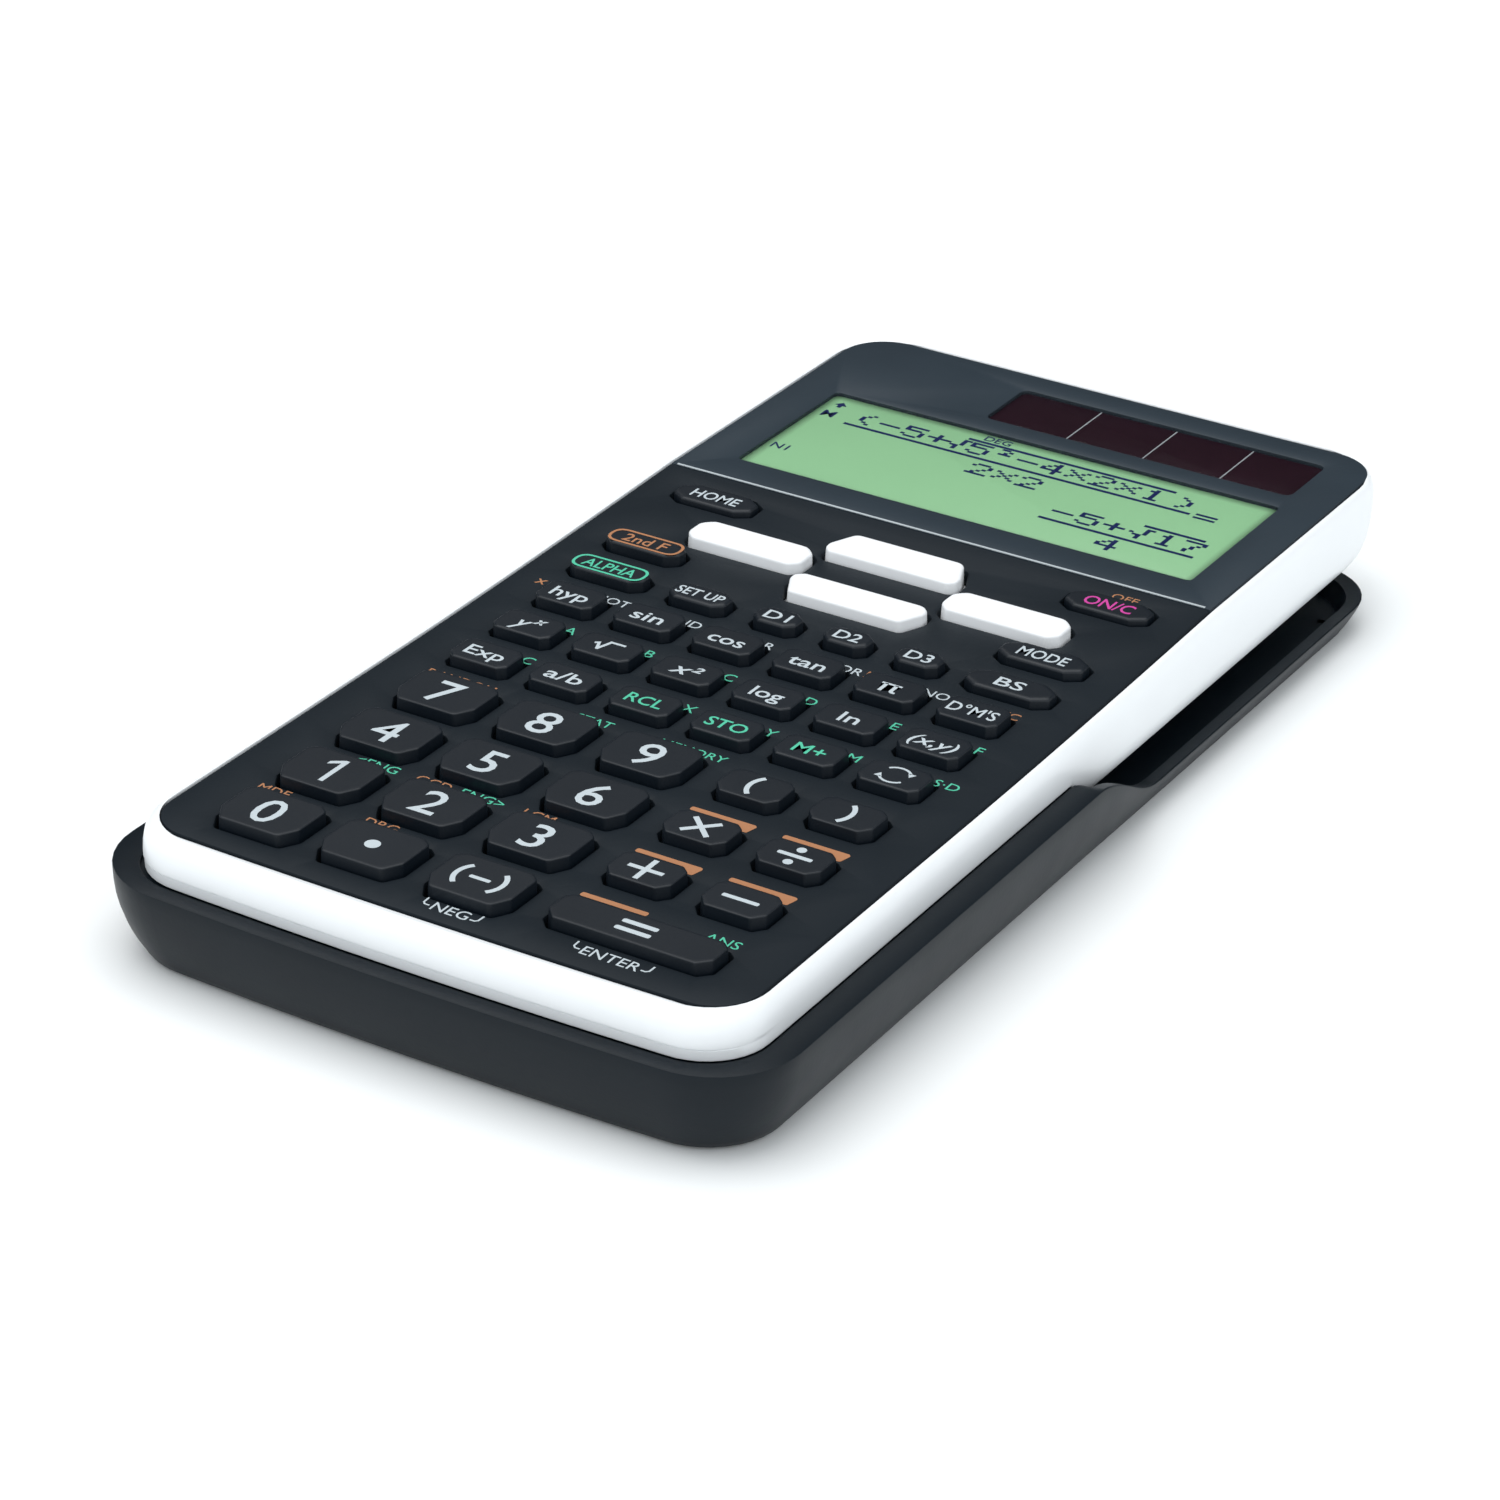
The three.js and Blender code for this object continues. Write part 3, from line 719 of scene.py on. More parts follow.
# Words printed on the panel beside the keys: words, x, y and height.
PANEL_WORDS = {
    "white_print": [
        ("NOT", -24.3, 76.7, 1.7), ("AND", -14.1, 76.7, 1.7), ("OR", -3.0, 76.7, 1.7),
        ("XOR", 8.4, 76.7, 1.7), ("XNOR", 20.8, 76.7, 1.7),
        ("NEG", 1.7, 2.65, 1.8), ("ENTER", 21.6, 3.55, 1.8),
    ],
    "mint_print": [
        *((letter, x, 67.2, 1.8)
          for letter, x in zip("ABCDEF", (-24.25, -13.0, -1.85, 9.35, 20.75, 31.9))),
        *((letter, x, 57.8, 1.8) for letter, x in zip("CXYM", (-24.25, -1.75, 9.4, 20.5))),
        ("S·D", 32.7, 57.8, 1.7), ("STAT", -9.35, 49.0, 1.6), ("MEMORY", 4.15, 49.0, 1.6),
        ("<ENG", -24.1, 26.0, 1.7), ("ENG>", -9.7, 26.0, 1.7), ("ANS", 29.65, 13.3, 1.7),
    ],
    "tan_print": [
        ("x", -34.5, 76.8, 2.0), ("!", 11.5, 76.8, 1.8), ("DEC", 30.0, 76.8, 1.6),
        ("RANDOM", -28.0, 49.0, 1.6), ("GCD", -16.3, 26.0, 1.6), ("LCM", -2.1, 26.0, 1.6),
        ("MDF", -30.3, 14.5, 1.6), ("DRG", -15.6, 14.5, 1.6), ("OFF", 28.6, 110.9, 1.5),
    ],
}
# The tan bars: the key each lies beyond, how far right of its middle, and whether it has a wedge.
MARK_BARS = [
    ("times", -0.2, True), ("divide", -0.2, True), ("plus", -0.2, True), ("minus", -0.2, True),
    ("equals", -6.0, False),
]
MARK_CLEARANCE = 2.3                           # an operator key's far edge to its mark
# The marks that embrace a word: x, y, and -1 for its left end or 1 for its right.
CORNER_MARKS = [(-1.9, 3.1, -1), (5.3, 2.9, 1), (16.8, 4.1, -1), (26.4, 3.9, 1)]


def mark_bar(x, y, wedge):
    """A tan bar beyond an operator key, with a wedge at its right end if there is one."""
    left, right, top, bottom = x - 4.3, x + 4.3, y + 0.42, y - 0.42
    if wedge:
        corners = [(left, bottom), (right - 2.6, bottom), (right - 1.5, bottom - 1.2),
                   (right - 0.4, bottom - 1.2), (right, top - 0.3), (right - 0.3, top), (left, top)]
    else:
        corners = [(left, bottom), (right, bottom), (right, top), (left, top)]
    return rounded(corners, 0.3, 3)


def corner_mark(x, y, side):
    """The small corner that embraces a word from the left (side -1) or right (side 1)."""
    path = [
        (x + side * 0.05, y + 0.7), (x, y - 0.4), (x - side * 0.3, y - 0.7), (x - side * 0.9, y - 0.7),
    ]
    return ribbon(path, 0.22)


def panel_labels():
    for slot, words in PANEL_WORDS.items():
        ink = Print(panel_z)
        for text, x, y, height in words:
            ink.text(text, x, y, height)
        if slot == "white_print":
            for x, y, side in CORNER_MARKS:
                ink.shape(corner_mark(x, y, side))
        if slot == "tan_print":
            for name, shift, wedge in MARK_BARS:
                key = key_facts(name)
                far_edge = key["y"] + key["half"][1]
                ink.shape(mark_bar(key["x"] + shift, far_edge + MARK_CLEARANCE, wedge))
        ink.piece(f"labels_{slot.split('_')[0]}", CALCULATOR, slot)


# ---- display ----
GLASS_Z = WINDOW_TOP_Z - 0.55                  # the LCD's and the solar cell's faces
SOLAR_DIVIDERS = (-0.2, 11.0, 22.2)
SEPARATION = (-37.9, 37.9, 113.95, 114.3)      # the line at the plate's near edge: x and y, from and to


def display_outline(inset):
    """The display end of the panel: square at its near edge, rounded at its far corners."""
    near = WINDOW_NEAR + inset
    half, far, radius = PANEL_HALF_WIDTH - inset, PANEL_FAR - inset, PANEL_FAR_RADIUS - inset
    corner_steps = 12
    points = [Vector((-half, near)), Vector((half, near))]
    for cx, start in ((half - radius, 0), (-half + radius, math.pi / 2)):
        for i in range(corner_steps + 1):
            angle = start + i / corner_steps * math.pi / 2
            points.append(Vector((cx + radius * math.cos(angle), far - radius + radius * math.sin(angle))))
    return points


def view_outline(view, margin, radius):
    return rectangle(view["x0"] - margin, view["x1"] + margin, view["y0"] - margin, view["y1"] + margin,
                     radius + margin, 6)


def display_plate():
    """The satin plate over the display end, with its two openings."""
    skin = Skin()
    edge = 0.18
    bottom = WINDOW_TOP_Z - WINDOW_SKIN

    def rings_of(outline):
        rings = [skin.level(outline(inset), WINDOW_TOP_Z - drop)
                 for inset, drop in reversed(quarter_round(edge))]
        rings.append(skin.level(outline(0), bottom))
        skin.chain(rings)
        return rings

    outer = rings_of(display_outline)
    lcd = rings_of(lambda m: view_outline(LCD, m, LCD_RADIUS))
    solar = rings_of(lambda m: view_outline(SOLAR, m, SOLAR_RADIUS))
    skin.fill(outer[0], [lcd[0], solar[0]])
    skin.fill(outer[-1], [lcd[-1], solar[-1]])
    piece = skin.piece("display_plate", CALCULATOR, "display_plastic")
    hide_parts("display_window")


def separation_line():
    skin = Skin()
    block(skin, lambda m: rectangle(*SEPARATION), WINDOW_TOP_Z - 0.3, WINDOW_TOP_Z + 0.03)
    skin.piece("separation_line", CALCULATOR, "line_print")


def shade_edges(look, view, reach, darkest):
    """Darkens a look softly towards the edges of an opening, where the plate shades it."""
    nodes, links = look.node_tree.nodes, look.node_tree.links
    shader = nodes["Principled BSDF"]
    place = nodes.new("ShaderNodeTexCoord")
    split = nodes.new("ShaderNodeSeparateXYZ")
    links.new(place.outputs["Object"], split.inputs["Vector"])
    light = None
    edges = (("X", view["x0"], 1), ("X", view["x1"], -1), ("Y", view["y0"] + ORIGIN_Y, 1),
             ("Y", view["y1"] + ORIGIN_Y, -1))
    for axis, edge, inward in edges:
        fade = nodes.new("ShaderNodeMapRange")
        fade.interpolation_type = "SMOOTHSTEP"
        fade.inputs["From Min"].default_value = edge * MM
        fade.inputs["From Max"].default_value = (edge + inward * reach) * MM
        fade.inputs["To Min"].default_value = darkest
        fade.inputs["To Max"].default_value = 1.0
        links.new(split.outputs[axis], fade.inputs["Value"])
        if light is None:
            light = fade.outputs["Result"]
            continue
        both = nodes.new("ShaderNodeMath")
        both.operation = "MULTIPLY"
        links.new(light, both.inputs[0])
        links.new(fade.outputs["Result"], both.inputs[1])
        light = both.outputs["Value"]
    shaded = nodes.new("ShaderNodeVectorMath")
    shaded.operation = "SCALE"
    links.new(shader.inputs["Base Color"].links[0].from_socket, shaded.inputs[0])
    links.new(light, shaded.inputs["Scale"])
    links.new(shaded.outputs["Vector"], shader.inputs["Base Color"])


def lcd_panel():
    shade_edges(LOOKS["lcd_glass"], LCD, 1.6, 0.45)
    skin = Skin()
    block(skin, lambda m: view_outline(LCD, 1.4 - m, 0.4), GLASS_Z - 1.2, GLASS_Z, 0.1)
    piece = skin.piece("lcd_glass", CALCULATOR, "lcd_glass")
    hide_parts("lcd_module")


# The display's characters, as rows of dots.
DOTS = {
    "0": "01110 10001 10001 10001 10001 10001 01110", "1": "00100 01100 00100 00100 00100 00100 01110",
    "2": "01110 10001 00001 00010 00100 01000 11111", "4": "00010 00110 01010 10010 11111 00010 00010",
    "5": "11111 10000 11110 00001 00001 10001 01110", "7": "11111 00001 00010 00100 00100 01000 01000",
    "+": "00000 00100 00100 11111 00100 00100 00000", "-": "00000 00000 00000 11111 00000 00000 00000",
    "×": "00000 10001 01010 00100 01010 10001 00000", "=": "00000 00000 11111 00000 11111 00000 00000",
    "(": "00010 00100 01000 01000 01000 00100 00010", ")": "01000 00100 00010 00010 00010 00100 01000",
    "√": "00011 00010 00010 10010 01100 00100 00100", "²": "01100 00010 00100 01110",
}
DOT_ACROSS = 0.613
DOT_ALONG = 0.487
DOT_FILL = 0.97                                # share of a dot's place that is dark
CHARACTER = 6 * DOT_ACROSS

# What the display shows: characters with the place of their upper left corner.
SHOWN = [
    ("(", -26.6, 142.9), ("-5+", -23.1, 142.9), ("√", -12.9, 142.9), ("5", -9.7, 142.9), ("²", -6.1, 143.1),
    ("-4×2×1", -2.5, 142.9), (")", 20.4, 142.9), ("=", 24.5, 140.3), ("2×2", -6.6, 137.3),
    ("-5+√17", 8.6, 131.5), ("4", 17.5, 126.3),
]
LCD_MARKS = [("M", -30.3, 140.2, 2.0), ("DEG", -7.2, 144.9, 1.5), ("N1", -30.3, 127.5, 1.7)]
# Its rules: from x, to x, and y.
RULES = [(-10.9, 19.5, 143.5), (-27.1, 23.8, 138.6), (20.6, 29.2, 132.2), (8.0, 29.9, 127.1)]


def dots(words, x, y):
    """The dark dots of a row of characters."""
    for place, letter in enumerate(words):
        for row, pattern in enumerate(DOTS[letter].split()):
            for column, dark in enumerate(pattern):
                if dark == "1":
                    left = x + place * CHARACTER + column * DOT_ACROSS
                    top = y - row * DOT_ALONG
                    yield rectangle(left, left + DOT_ACROSS * DOT_FILL, top - DOT_ALONG * DOT_FILL, top)


def lcd_figures():
    """The dots, rules and small marks that the display shows."""
    ink = Print(GLASS_Z)
    for words, x, y in SHOWN:
        for dot in dots(words, x, y):
            ink.shape(dot)
    for x0, x1, y in RULES:
        ink.shape(rectangle(x0, x1, y - 0.28, y + 0.28))
    ink.shape([Vector(p) for p in (
        (-30.6, 142.6), (-30.0, 142.6), (-30.0, 143.3), (-29.4, 143.3), (-30.3, 144.3), (-31.2, 143.3),
        (-30.6, 143.3),
    )])
    for words, x, y, height in LCD_MARKS:
        ink.text(words, x, y, height, weight=BOLD_WEIGHT)
    ink.piece("lcd_figures", CALCULATOR, "lcd_ink")


def clear_panes():
    """The clear windows over the display and the solar cell, just below the plate's face."""
    for name, view, radius in (("lcd_pane", LCD, LCD_RADIUS), ("solar_pane", SOLAR, SOLAR_RADIUS)):
        skin = Skin()
        block(skin, lambda m: view_outline(view, -0.03 - m, radius),
              GLASS_Z + 0.12, WINDOW_TOP_Z - 0.05, 0.05)
        skin.piece(name, CALCULATOR, "clear_plastic")


def solar_panel():
    skin = Skin()
    block(skin, lambda m: view_outline(SOLAR, 1.2 - m, 0.4), GLASS_Z - 1.2, GLASS_Z, 0.1)
    piece = skin.piece("solar_glass", CALCULATOR, "solar_glass")
    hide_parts("solar_cell")
    lines = Skin()
    for x in SOLAR_DIVIDERS:
        strip = rectangle(x - 0.09, x + 0.09, SOLAR["y0"], SOLAR["y1"])
        block(lines, lambda m: strip, GLASS_Z + 0.005, GLASS_Z + 0.03)
    lines.piece("solar_dividers", CALCULATOR, "line_print")


# ---- rear case ----
BODY_STATIONS = [10, 25, 40, 54, 62, 70, 74, 75, 75.4, 76.0, 76.6, 78, 84, 90, 96, 102, 108, 114, 130, 145]
BODY_NEAR_RADIUS = 8.0
BODY_FAR_RADIUS = 9.5
BODY_BOW = 0.65
SCREWS = [(-31, 9), (31, 9), (-31, 74), (31, 74), (-31, 156), (31, 156)]
SCREW_BORE = 2.4
RESET = (-10, 130)
BAY = (13.0, 30.0, 122.0, 138.0)               # the battery bay: x from and to, y from and to

# The shoulder, from the panel's edge out to the side: side inset, near inset, far inset, drop.
SHOULDER = [
    (1.02, 2.2, 1.2, 0.08), (0.9, 1.9, 1.05, 0.05), (0.72, 1.5, 0.85, 0.1), (0.45, 1.0, 0.6, 0.32),
    (0.22, 0.6, 0.35, 0.75), (0.08, 0.3, 0.15, 1.4), (0.0, 0.1, 0.03, 2.4), (0.0, 0.0, 0.0, 3.6),
]
# A parting line and a set-back strip along the near side, then the lower edge and what lies under
# it: inset at the side and near, height, and the same past the rails.
SIDE = [
    (0.0, 0.0, 12.85, 0.0, 0.2, 12.6), (0.0, 0.3, 12.78, 0.0, 0.25, 12.4),
    (0.0, 0.3, 12.62, 0.0, 0.3, 12.1), (0.0, 0.18, 12.52, 0.0, 0.35, 11.8),
    (0.0, 0.24, RAIL_Z + 0.12, 0.03, 1.0, 10.2), (0.12, 0.36, RAIL_Z, 0.1, 1.8, 9.2),
    (2.0, 2.0, RAIL_Z, 0.35, 2.9, LOW_EDGE_Z), (2.0, 2.0, GROOVE_FLOOR_Z, 0.9, 4.0, 7.4),
    (1.3, 1.3, GROOVE_FLOOR_Z, 1.6, 5.0, 6.7), (1.5, 1.5, 7.6, 2.3, 5.9, 6.1),
    (2.4, 2.4, 6.2, 3.0, 6.6, 5.75), (3.6, 3.6, BODY_BOTTOM_Z, 4.0, 7.6, BODY_BOTTOM_Z),
]


def body_outline(side, near=None, far=None, stations=BODY_STATIONS):
    near = side if near is None else near
    far = side if far is None else far
    return slab(BODY_HALF_WIDTH - side, BODY_NEAR + near, BODY_FAR - far,
                BODY_NEAR_RADIUS - side / 2, BODY_FAR_RADIUS - side / 2, BODY_BOW, stations)


def panel_gap_outline(gap):
    """The panel's outline, grown by the gap that the tub leaves round it."""
    return slab(PANEL_HALF_WIDTH + gap, -gap, PANEL_FAR + gap,
                PANEL_NEAR_RADIUS + gap, PANEL_FAR_RADIUS + gap, PANEL_BOW, BODY_STATIONS)


def past_rails(y):
    """0 along the rails and 1 in the open part of the side beyond them."""
    return ease(y, RAIL_END, RAIL_END + 1.6)


def blended(skin, railed, open_, railed_z, open_z):
    """A ring that follows one outline along the rails and another beyond them."""
    points = []
    for a, b in zip(railed, open_):
        share = past_rails(a.y)
        flat = a.lerp(b, share)
        points.append((flat.x, flat.y, mix(railed_z, open_z, share)))
    return skin.ring(points)


def blind_bore(skin, x, y, radius, depth):
    """A round hole up into the case's bottom, given as the ring of its mouth."""
    rings = [skin.level(circle(x, y, radius), z) for z in (BODY_BOTTOM_Z, BODY_BOTTOM_Z + depth)]
    skin.chain(rings)
    skin.cap(rings[1])
    return rings[0]


def rear_shell():
    """The white tub: a soft shoulder round the panel, upright sides, and a groove for the rails."""
    skin = Skin()
    gap = 0.3
    rings = [skin.level(body_outline(3.5), BODY_FLOOR_Z), skin.level(body_outline(3.5), SKIRT_FOOT_Z - gap)]
    rings.append(skin.level(panel_gap_outline(gap), SKIRT_FOOT_Z - gap))
    rings.append(skin.level(panel_gap_outline(gap), lambda y: panel_z(y) - 0.3))
    for side, near, far, drop in SHOULDER:
        rings.append(skin.level(body_outline(side, near, far), lambda y, d=drop: panel_z(y) - d))
    for side, near, z, open_side, open_far, open_z in SIDE:
        railed = body_outline(side, near)
        open_ = body_outline(open_side, open_side, open_far)
        rings.append(blended(skin, railed, open_, z, open_z))
    skin.chain(rings)
    bay_rings = [skin.level(rectangle(*BAY, 0.6), z) for z in (BODY_BOTTOM_Z, BODY_FLOOR_Z)]
    skin.chain(bay_rings)
    bores = [blind_bore(skin, x, y, SCREW_BORE, 1.1) for x, y in SCREWS]
    bores.append(blind_bore(skin, *RESET, 1.0, 1.2))
    skin.fill(rings[-1], [bay_rings[0], *bores])
    skin.fill(rings[0], [bay_rings[1]])
    piece = skin.piece("rear_shell", CALCULATOR, "white_plastic")
    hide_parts("rear_case")


def case_screws():
    """Pan-head screws in the bottom's counterbores, with crossed slots."""
    skin = Skin()
    for x, y in SCREWS:
        rings = [skin.level(circle(x, y, radius), BODY_BOTTOM_Z + depth)
                 for radius, depth in ((1.9, 1.0), (1.9, 0.5), (1.5, 0.2), (1.1, 0.12))]
        skin.chain(rings)
        skin.cap(rings[0])
        slot = [Vector((x, y)) + p for p in cross(1.8, 1.8, 0.44)]
        slot_rings = [skin.level(slot, BODY_BOTTOM_Z + 0.12), skin.level(slot, BODY_BOTTOM_Z + 0.7)]
        skin.chain(slot_rings)
        skin.cap(slot_rings[1])
        skin.fill(rings[-1], [slot_rings[0]])
    skin.piece("case_screws", CALCULATOR, "zinc_steel")


def battery_lid():
    """The battery cover's outside, with a thumb groove, set in the bottom of the rear case."""
    skin = Skin()
    low, high = cad_box("battery_cover")
    outline = rectangle(low.x, high.x, low.y - ORIGIN_Y, high.y - ORIGIN_Y, 0.6)
    rings = [skin.level(outline, high.z), skin.level(outline, low.z + 0.15)]
    inner = rectangle(low.x + 0.15, high.x - 0.15, low.y - ORIGIN_Y + 0.15, high.y - ORIGIN_Y - 0.15, 0.5)
    rings.append(skin.level(inner, low.z))
    skin.chain(rings)
    skin.cap(rings[0])
    grooves = []
    middle = (low.x + high.x) / 2
    for i in range(4):
        y = high.y - ORIGIN_Y - 2.6 - 1.1 * i
        groove = rectangle(middle - 4, middle + 4, y - 0.3, y + 0.3, 0.28)
        pair = [skin.level(groove, low.z), skin.level(groove, low.z + 0.35)]
        skin.chain(pair)
        skin.cap(pair[1])
        grooves.append(pair[0])
    skin.fill(rings[-1], grooves)
    piece = skin.piece("battery_lid", CALCULATOR, "white_plastic")
    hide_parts("battery_cover")


# ---- inside ----
CHIP = (-12, 125)
TRACKS = 12
TRACK_START = -27.5
TRACK_PITCH = 5


def sheet_outline(node):
    """The rounded outline of one of the sheets inside the case."""
    low, high = cad_box(node)
    return rectangle(low.x, high.x, low.y - ORIGIN_Y, high.y - ORIGIN_Y, 6.0, 6)


def dome_mat():
    """The rubber mat, with a spring dome under every key."""
    low, high = cad_box("key_mat")
    skin = Skin()
    rings = [skin.level(sheet_outline("key_mat"), z) for z in (low.z, high.z)]
    skin.chain(rings)
    skin.cap(rings[0])
    feet = []
    for name in KEYS:
        key = key_facts(name)
        levels = [skin.level(circle(key["x"], key["y"], radius, 16), high.z + height)
                  for radius, height in ((2.0, 0.0), (1.8, 0.15), (1.3, 0.45), (1.1, 0.7), (0.9, 0.75))]
        skin.chain(levels)
        skin.cap(levels[-1])
        feet.append(levels[0])
    skin.fill(rings[1], feet)
    piece = skin.piece("dome_mat", CALCULATOR, "silicone_rubber")
    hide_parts("key_mat")


def board():
    """The circuit board with an opening for the cell, its contact pads, tracks and sealed chip."""
    low, high = cad_box("circuit_board")
    outline = sheet_outline("circuit_board")
    opening = rectangle(BAY[0] - 1, BAY[1] + 1, BAY[2] - 1, BAY[3] + 1)
    skin = Skin()
    lower = [skin.level(loop, low.z) for loop in (outline, opening)]
    upper = [skin.level(loop, high.z) for loop in (outline, opening)]
    for a, b in zip(lower, upper):
        skin.bridge(a, b)
    skin.fill(lower[0], lower[1:])
    skin.fill(upper[0], upper[1:])
    piece = skin.piece("board", CALCULATOR, "board_laminate")
    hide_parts("circuit_board")
    metal = Print(high.z)
    for name in KEYS:
        key = key_facts(name)
        x, y = key["x"], key["y"]
        metal.shape(circle(x, y, 1.5, 16), [circle(x, y, 0.9, 16)])
        metal.shape(circle(x, y, 0.6, 12))
    for i in range(TRACKS):
        x = TRACK_START + TRACK_PITCH * i
        metal.shape(rectangle(x - 0.15, x + 0.15, 112.0, 119.0))
    metal.piece("board_pads", CALCULATOR, "zinc_steel")
    chip = Skin()
    rings = [chip.level(circle(*CHIP, radius), low.z - height)
             for radius, height in ((5.0, 0.02), (4.8, 0.35), (3.8, 0.8), (2.2, 1.05), (0.8, 1.12))]
    chip.chain(rings)
    chip.cap(rings[0])
    chip.cap(rings[-1])
    chip.piece("board_chip", CALCULATOR, "key_plastic")


def button_cell():
    """The 11.6 mm button cell and the two spring contacts that touch it."""
    x, y = (BAY[0] + BAY[1]) / 2, (BAY[2] + BAY[3]) / 2
    base = BODY_BOTTOM_Z + 1.45
    cell = Skin()
    profile = ((5.3, 0.0), (5.65, 0.12), (5.8, 0.35), (5.8, 4.9),
               (5.65, 5.1), (5.1, 5.15), (5.1, 5.4), (4.7, 5.4))
    rings = [cell.level(circle(x, y, radius, 32), base + height) for radius, height in profile]
    cell.chain(rings)
    cell.cap(rings[0])
    cell.cap(rings[-1])
    cell.piece("button_cell", CALCULATOR, "zinc_steel")
    springs = Skin()
    block(springs, lambda m: rectangle(x - 1.5, x + 1.5, y - 7.0, y + 5.0), base + 5.5, base + 5.65)
    block(springs, lambda m: rectangle(x + 6.1, x + 6.3, y - 3.0, y + 3.0), base + 0.2, base + 4.6)
    springs.piece("cell_contacts", CALCULATOR, "zinc_steel")


# ---- hard cover ----
COVER_STATIONS = [10, 30, 50, 65, 72, 74, 75, 75.5, 76.1, 76.6, 77.5, 79, 80.5, 82, 83.5, 85, 86.5, 88,
                  89.5, 91, 92.5, 94.5, 100, 120, 140, 150]
COVER_NEAR_RADIUS = 11
COVER_FAR_RADIUS = 10.5
COVER_BOW = 0.7


def cover_outline(inset):
    """The cover's outline, with corners that tighten as it shrinks."""
    return slab(COVER_HALF_WIDTH - inset, COVER_NEAR + inset, COVER_FAR - inset,
                COVER_NEAR_RADIUS - 0.6 * inset, COVER_FAR_RADIUS - 0.6 * inset, COVER_BOW, COVER_STATIONS)


def cover_top(y):
    """The height of the cover's wall: high along the rails, then down in an S to its low part."""
    return mix(COVER_RIM_Z, COVER_LOW_Z, ease(y, RAIL_END, COVER_EASE_END))


def cover_inset(z):
    return COVER_TUCK * (1 - z / COVER_RIM_Z) ** 2.2


def cover_shell():
    """The hard cover: walls that curl in at the foot, a flat rim, and rails for the case's groove."""
    skin = Skin()

    def wall(share, offset=0.0, drop=0.0):
        """A ring round the wall at a share of its height, moved in by an offset and down by a drop."""
        points = []
        for p in cover_outline(0):
            z = max(share * cover_top(p.y) - drop, 0.0)
            points.append((z, cover_inset(z) + offset))
        rings_by_inset = [cover_outline(inset)[i] for i, (_, inset) in enumerate(points)]
        return skin.ring((p.x, p.y, z) for p, (z, _) in zip(rings_by_inset, points))

    def rail(side, z):
        """A ring along the rail's inner side, which closes up to the low wall beyond the rails."""
        points = []
        for i, inner in enumerate(body_outline(side, stations=COVER_STATIONS)):
            top = cover_top(inner.y)
            share = past_rails(inner.y)
            height = mix(z, top - 0.25 - 0.1 * (COVER_RIM_Z - z), share)
            low_wall = cover_outline(cover_inset(height) + COVER_SKIN)[i]
            flat = inner.lerp(low_wall, share)
            points.append((flat.x, flat.y, height))
        return skin.ring(points)

    rings = [skin.level(cover_outline(COVER_TUCK + inset), z)
             for inset, z in ((1.5, 0.0), (0.9, 0.0), (0.25, 0.12))]
    rings += [wall(share) for share in (0.05, 0.12, 0.2, 0.3, 0.42, 0.56, 0.7, 0.85)]
    rings += [wall(1.0, 0.0, 0.3), wall(1.0, 0.05, 0.1), wall(1.0, 0.25, 0.0)]
    rings += [rail(-0.45, COVER_RIM_Z), rail(-0.3, COVER_RIM_Z - 0.15), rail(-0.3, RAIL_Z - 0.3),
              rail(1.7, RAIL_Z - 0.3), rail(1.7, GROOVE_FLOOR_Z + 0.3)]
    rings += [wall(0.8, COVER_SKIN), wall(0.55, COVER_SKIN), wall(0.4, COVER_SKIN)]
    rings += [skin.level(cover_outline(COVER_TUCK + inset), COVER_SKIN) for inset in (0.9, 1.5, 2.5)]
    skin.chain(rings)
    skin.cap(rings[0])
    skin.cap(rings[-1])
    piece = skin.piece("cover_shell", COVER, "cover_plastic")
    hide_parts("hard_cover")


# ---- camera, floor and light ----
SENSOR = 36.0
LENS = 116.09                                  # the camera, as solved from the photo
EYE = (0.25623, -0.45650, 0.27687)
EYE_TURN = (62.2504, -1.5651, 30.7525)
FLOOR_HALF = 4.0
# Each lamp's name, place, size and power.
LAMPS = [
    ("key_light", (-0.35, 0.1, 1.4), 1.8, 19.0),
    ("fill_light", (0.3, -1.5, 0.8), 1.2, 0.8),
    ("side_light", (1.5, -0.5, 0.55), 1.2, 1.2),
]


def camera():
    data = bpy.data.cameras.new("view")
    data.sensor_width = SENSOR
    data.lens = LENS
    data.clip_start = 0.01
    eye = bpy.data.objects.new("view", data)
    eye.location = EYE
    eye.rotation_euler = Euler([math.radians(a) for a in EYE_TURN])
    bpy.context.scene.collection.objects.link(eye)
    bpy.context.scene.camera = eye


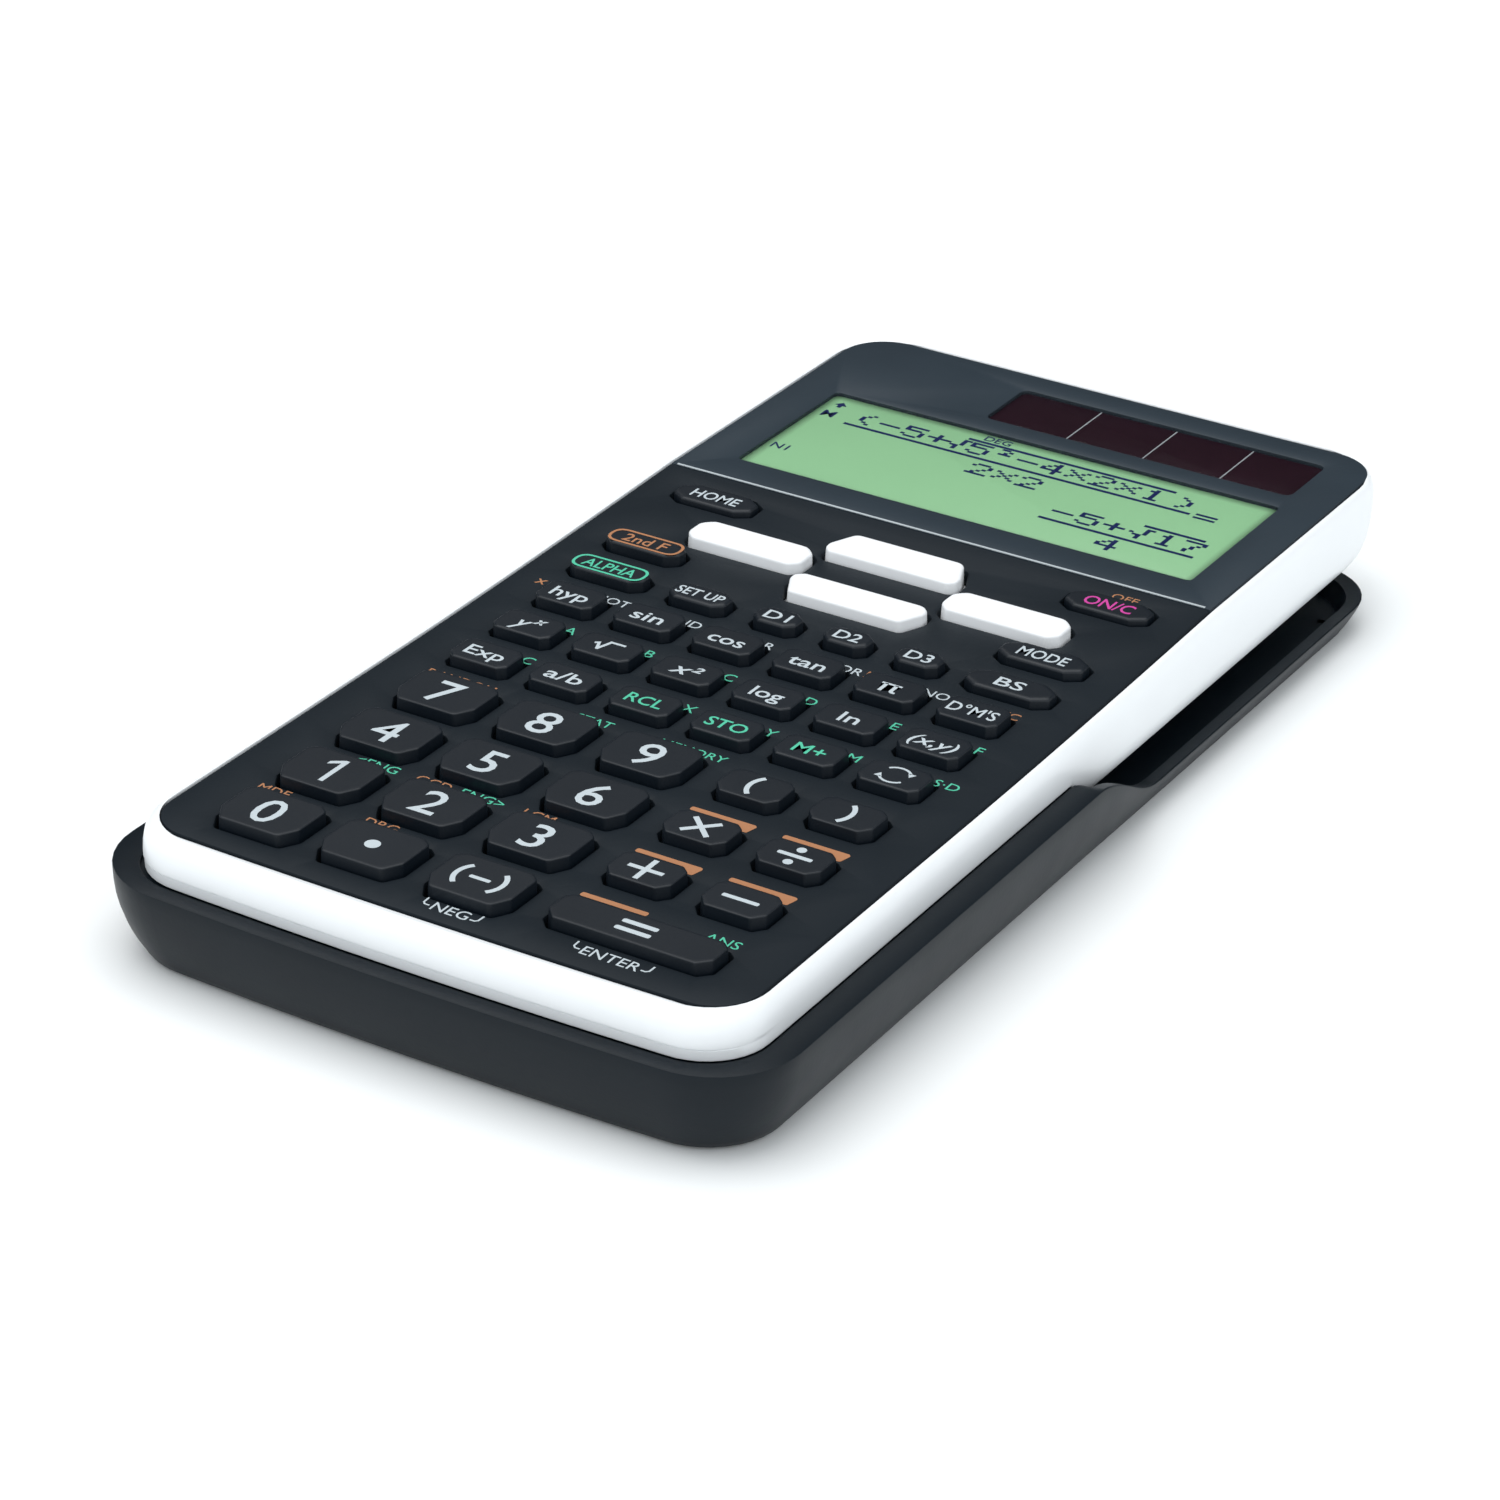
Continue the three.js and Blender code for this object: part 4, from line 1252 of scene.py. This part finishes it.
def lamp(name, location, size, energy):
    data = bpy.data.lights.new(name, "AREA")
    data.size = size
    data.energy = energy
    light = bpy.data.objects.new(name, data)
    light.location = location
    light.rotation_euler = (-Vector(location)).to_track_quat("-Z", "Y").to_euler()
    bpy.context.scene.collection.objects.link(light)


def soft_surround():
    """A pale surround that is bright in front and overhead, and dim behind the object."""
    world = bpy.data.worlds.new("studio")
    world.use_nodes = True
    nodes, links = world.node_tree.nodes, world.node_tree.links
    place = nodes.new("ShaderNodeTexCoord")
    towards_back = nodes.new("ShaderNodeVectorMath")
    towards_back.operation = "DOT_PRODUCT"
    towards_back.inputs[1].default_value = (-0.5, 0.87, 0.0)
    links.new(place.outputs["Generated"], towards_back.inputs[0])
    fade = nodes.new("ShaderNodeMapRange")
    fade.inputs["From Min"].default_value = 0.0
    fade.inputs["From Max"].default_value = 0.6
    fade.inputs["To Min"].default_value = 1.0
    fade.inputs["To Max"].default_value = 0.06
    links.new(towards_back.outputs["Value"], fade.inputs["Value"])
    background = nodes["Background"]
    background.inputs["Color"].default_value = (0.93, 0.97, 1.0, 1.0)
    links.new(fade.outputs["Result"], background.inputs["Strength"])
    bpy.context.scene.world = world


def studio():
    mesh = bpy.data.meshes.new("floor")
    half = FLOOR_HALF
    corners = [(-half, -half, 0), (half, -half, 0), (half, half, 0), (-half, half, 0)]
    mesh.from_pydata(corners, [], [(0, 1, 2, 3)])
    floor = bpy.data.objects.new("floor", mesh)
    mesh.materials.append(finish("floor_white", "f6f8f8", 0.8, mottle=0.0))
    bpy.context.scene.collection.objects.link(floor)
    soft_surround()
    bpy.context.scene.view_settings.view_transform = "Standard"
    for settings in LAMPS:
        lamp(*settings)


def main():
    camera()
    studio()
    front_shell()
    display_plate()
    separation_line()
    panel_labels()
    lcd_panel()
    lcd_figures()
    solar_panel()
    clear_panes()
    rear_shell()
    case_screws()
    battery_lid()
    dome_mat()
    board()
    button_cell()
    cover_shell()
    for name in KEYS:
        key_cap(name)
        key_legend(name)


main()
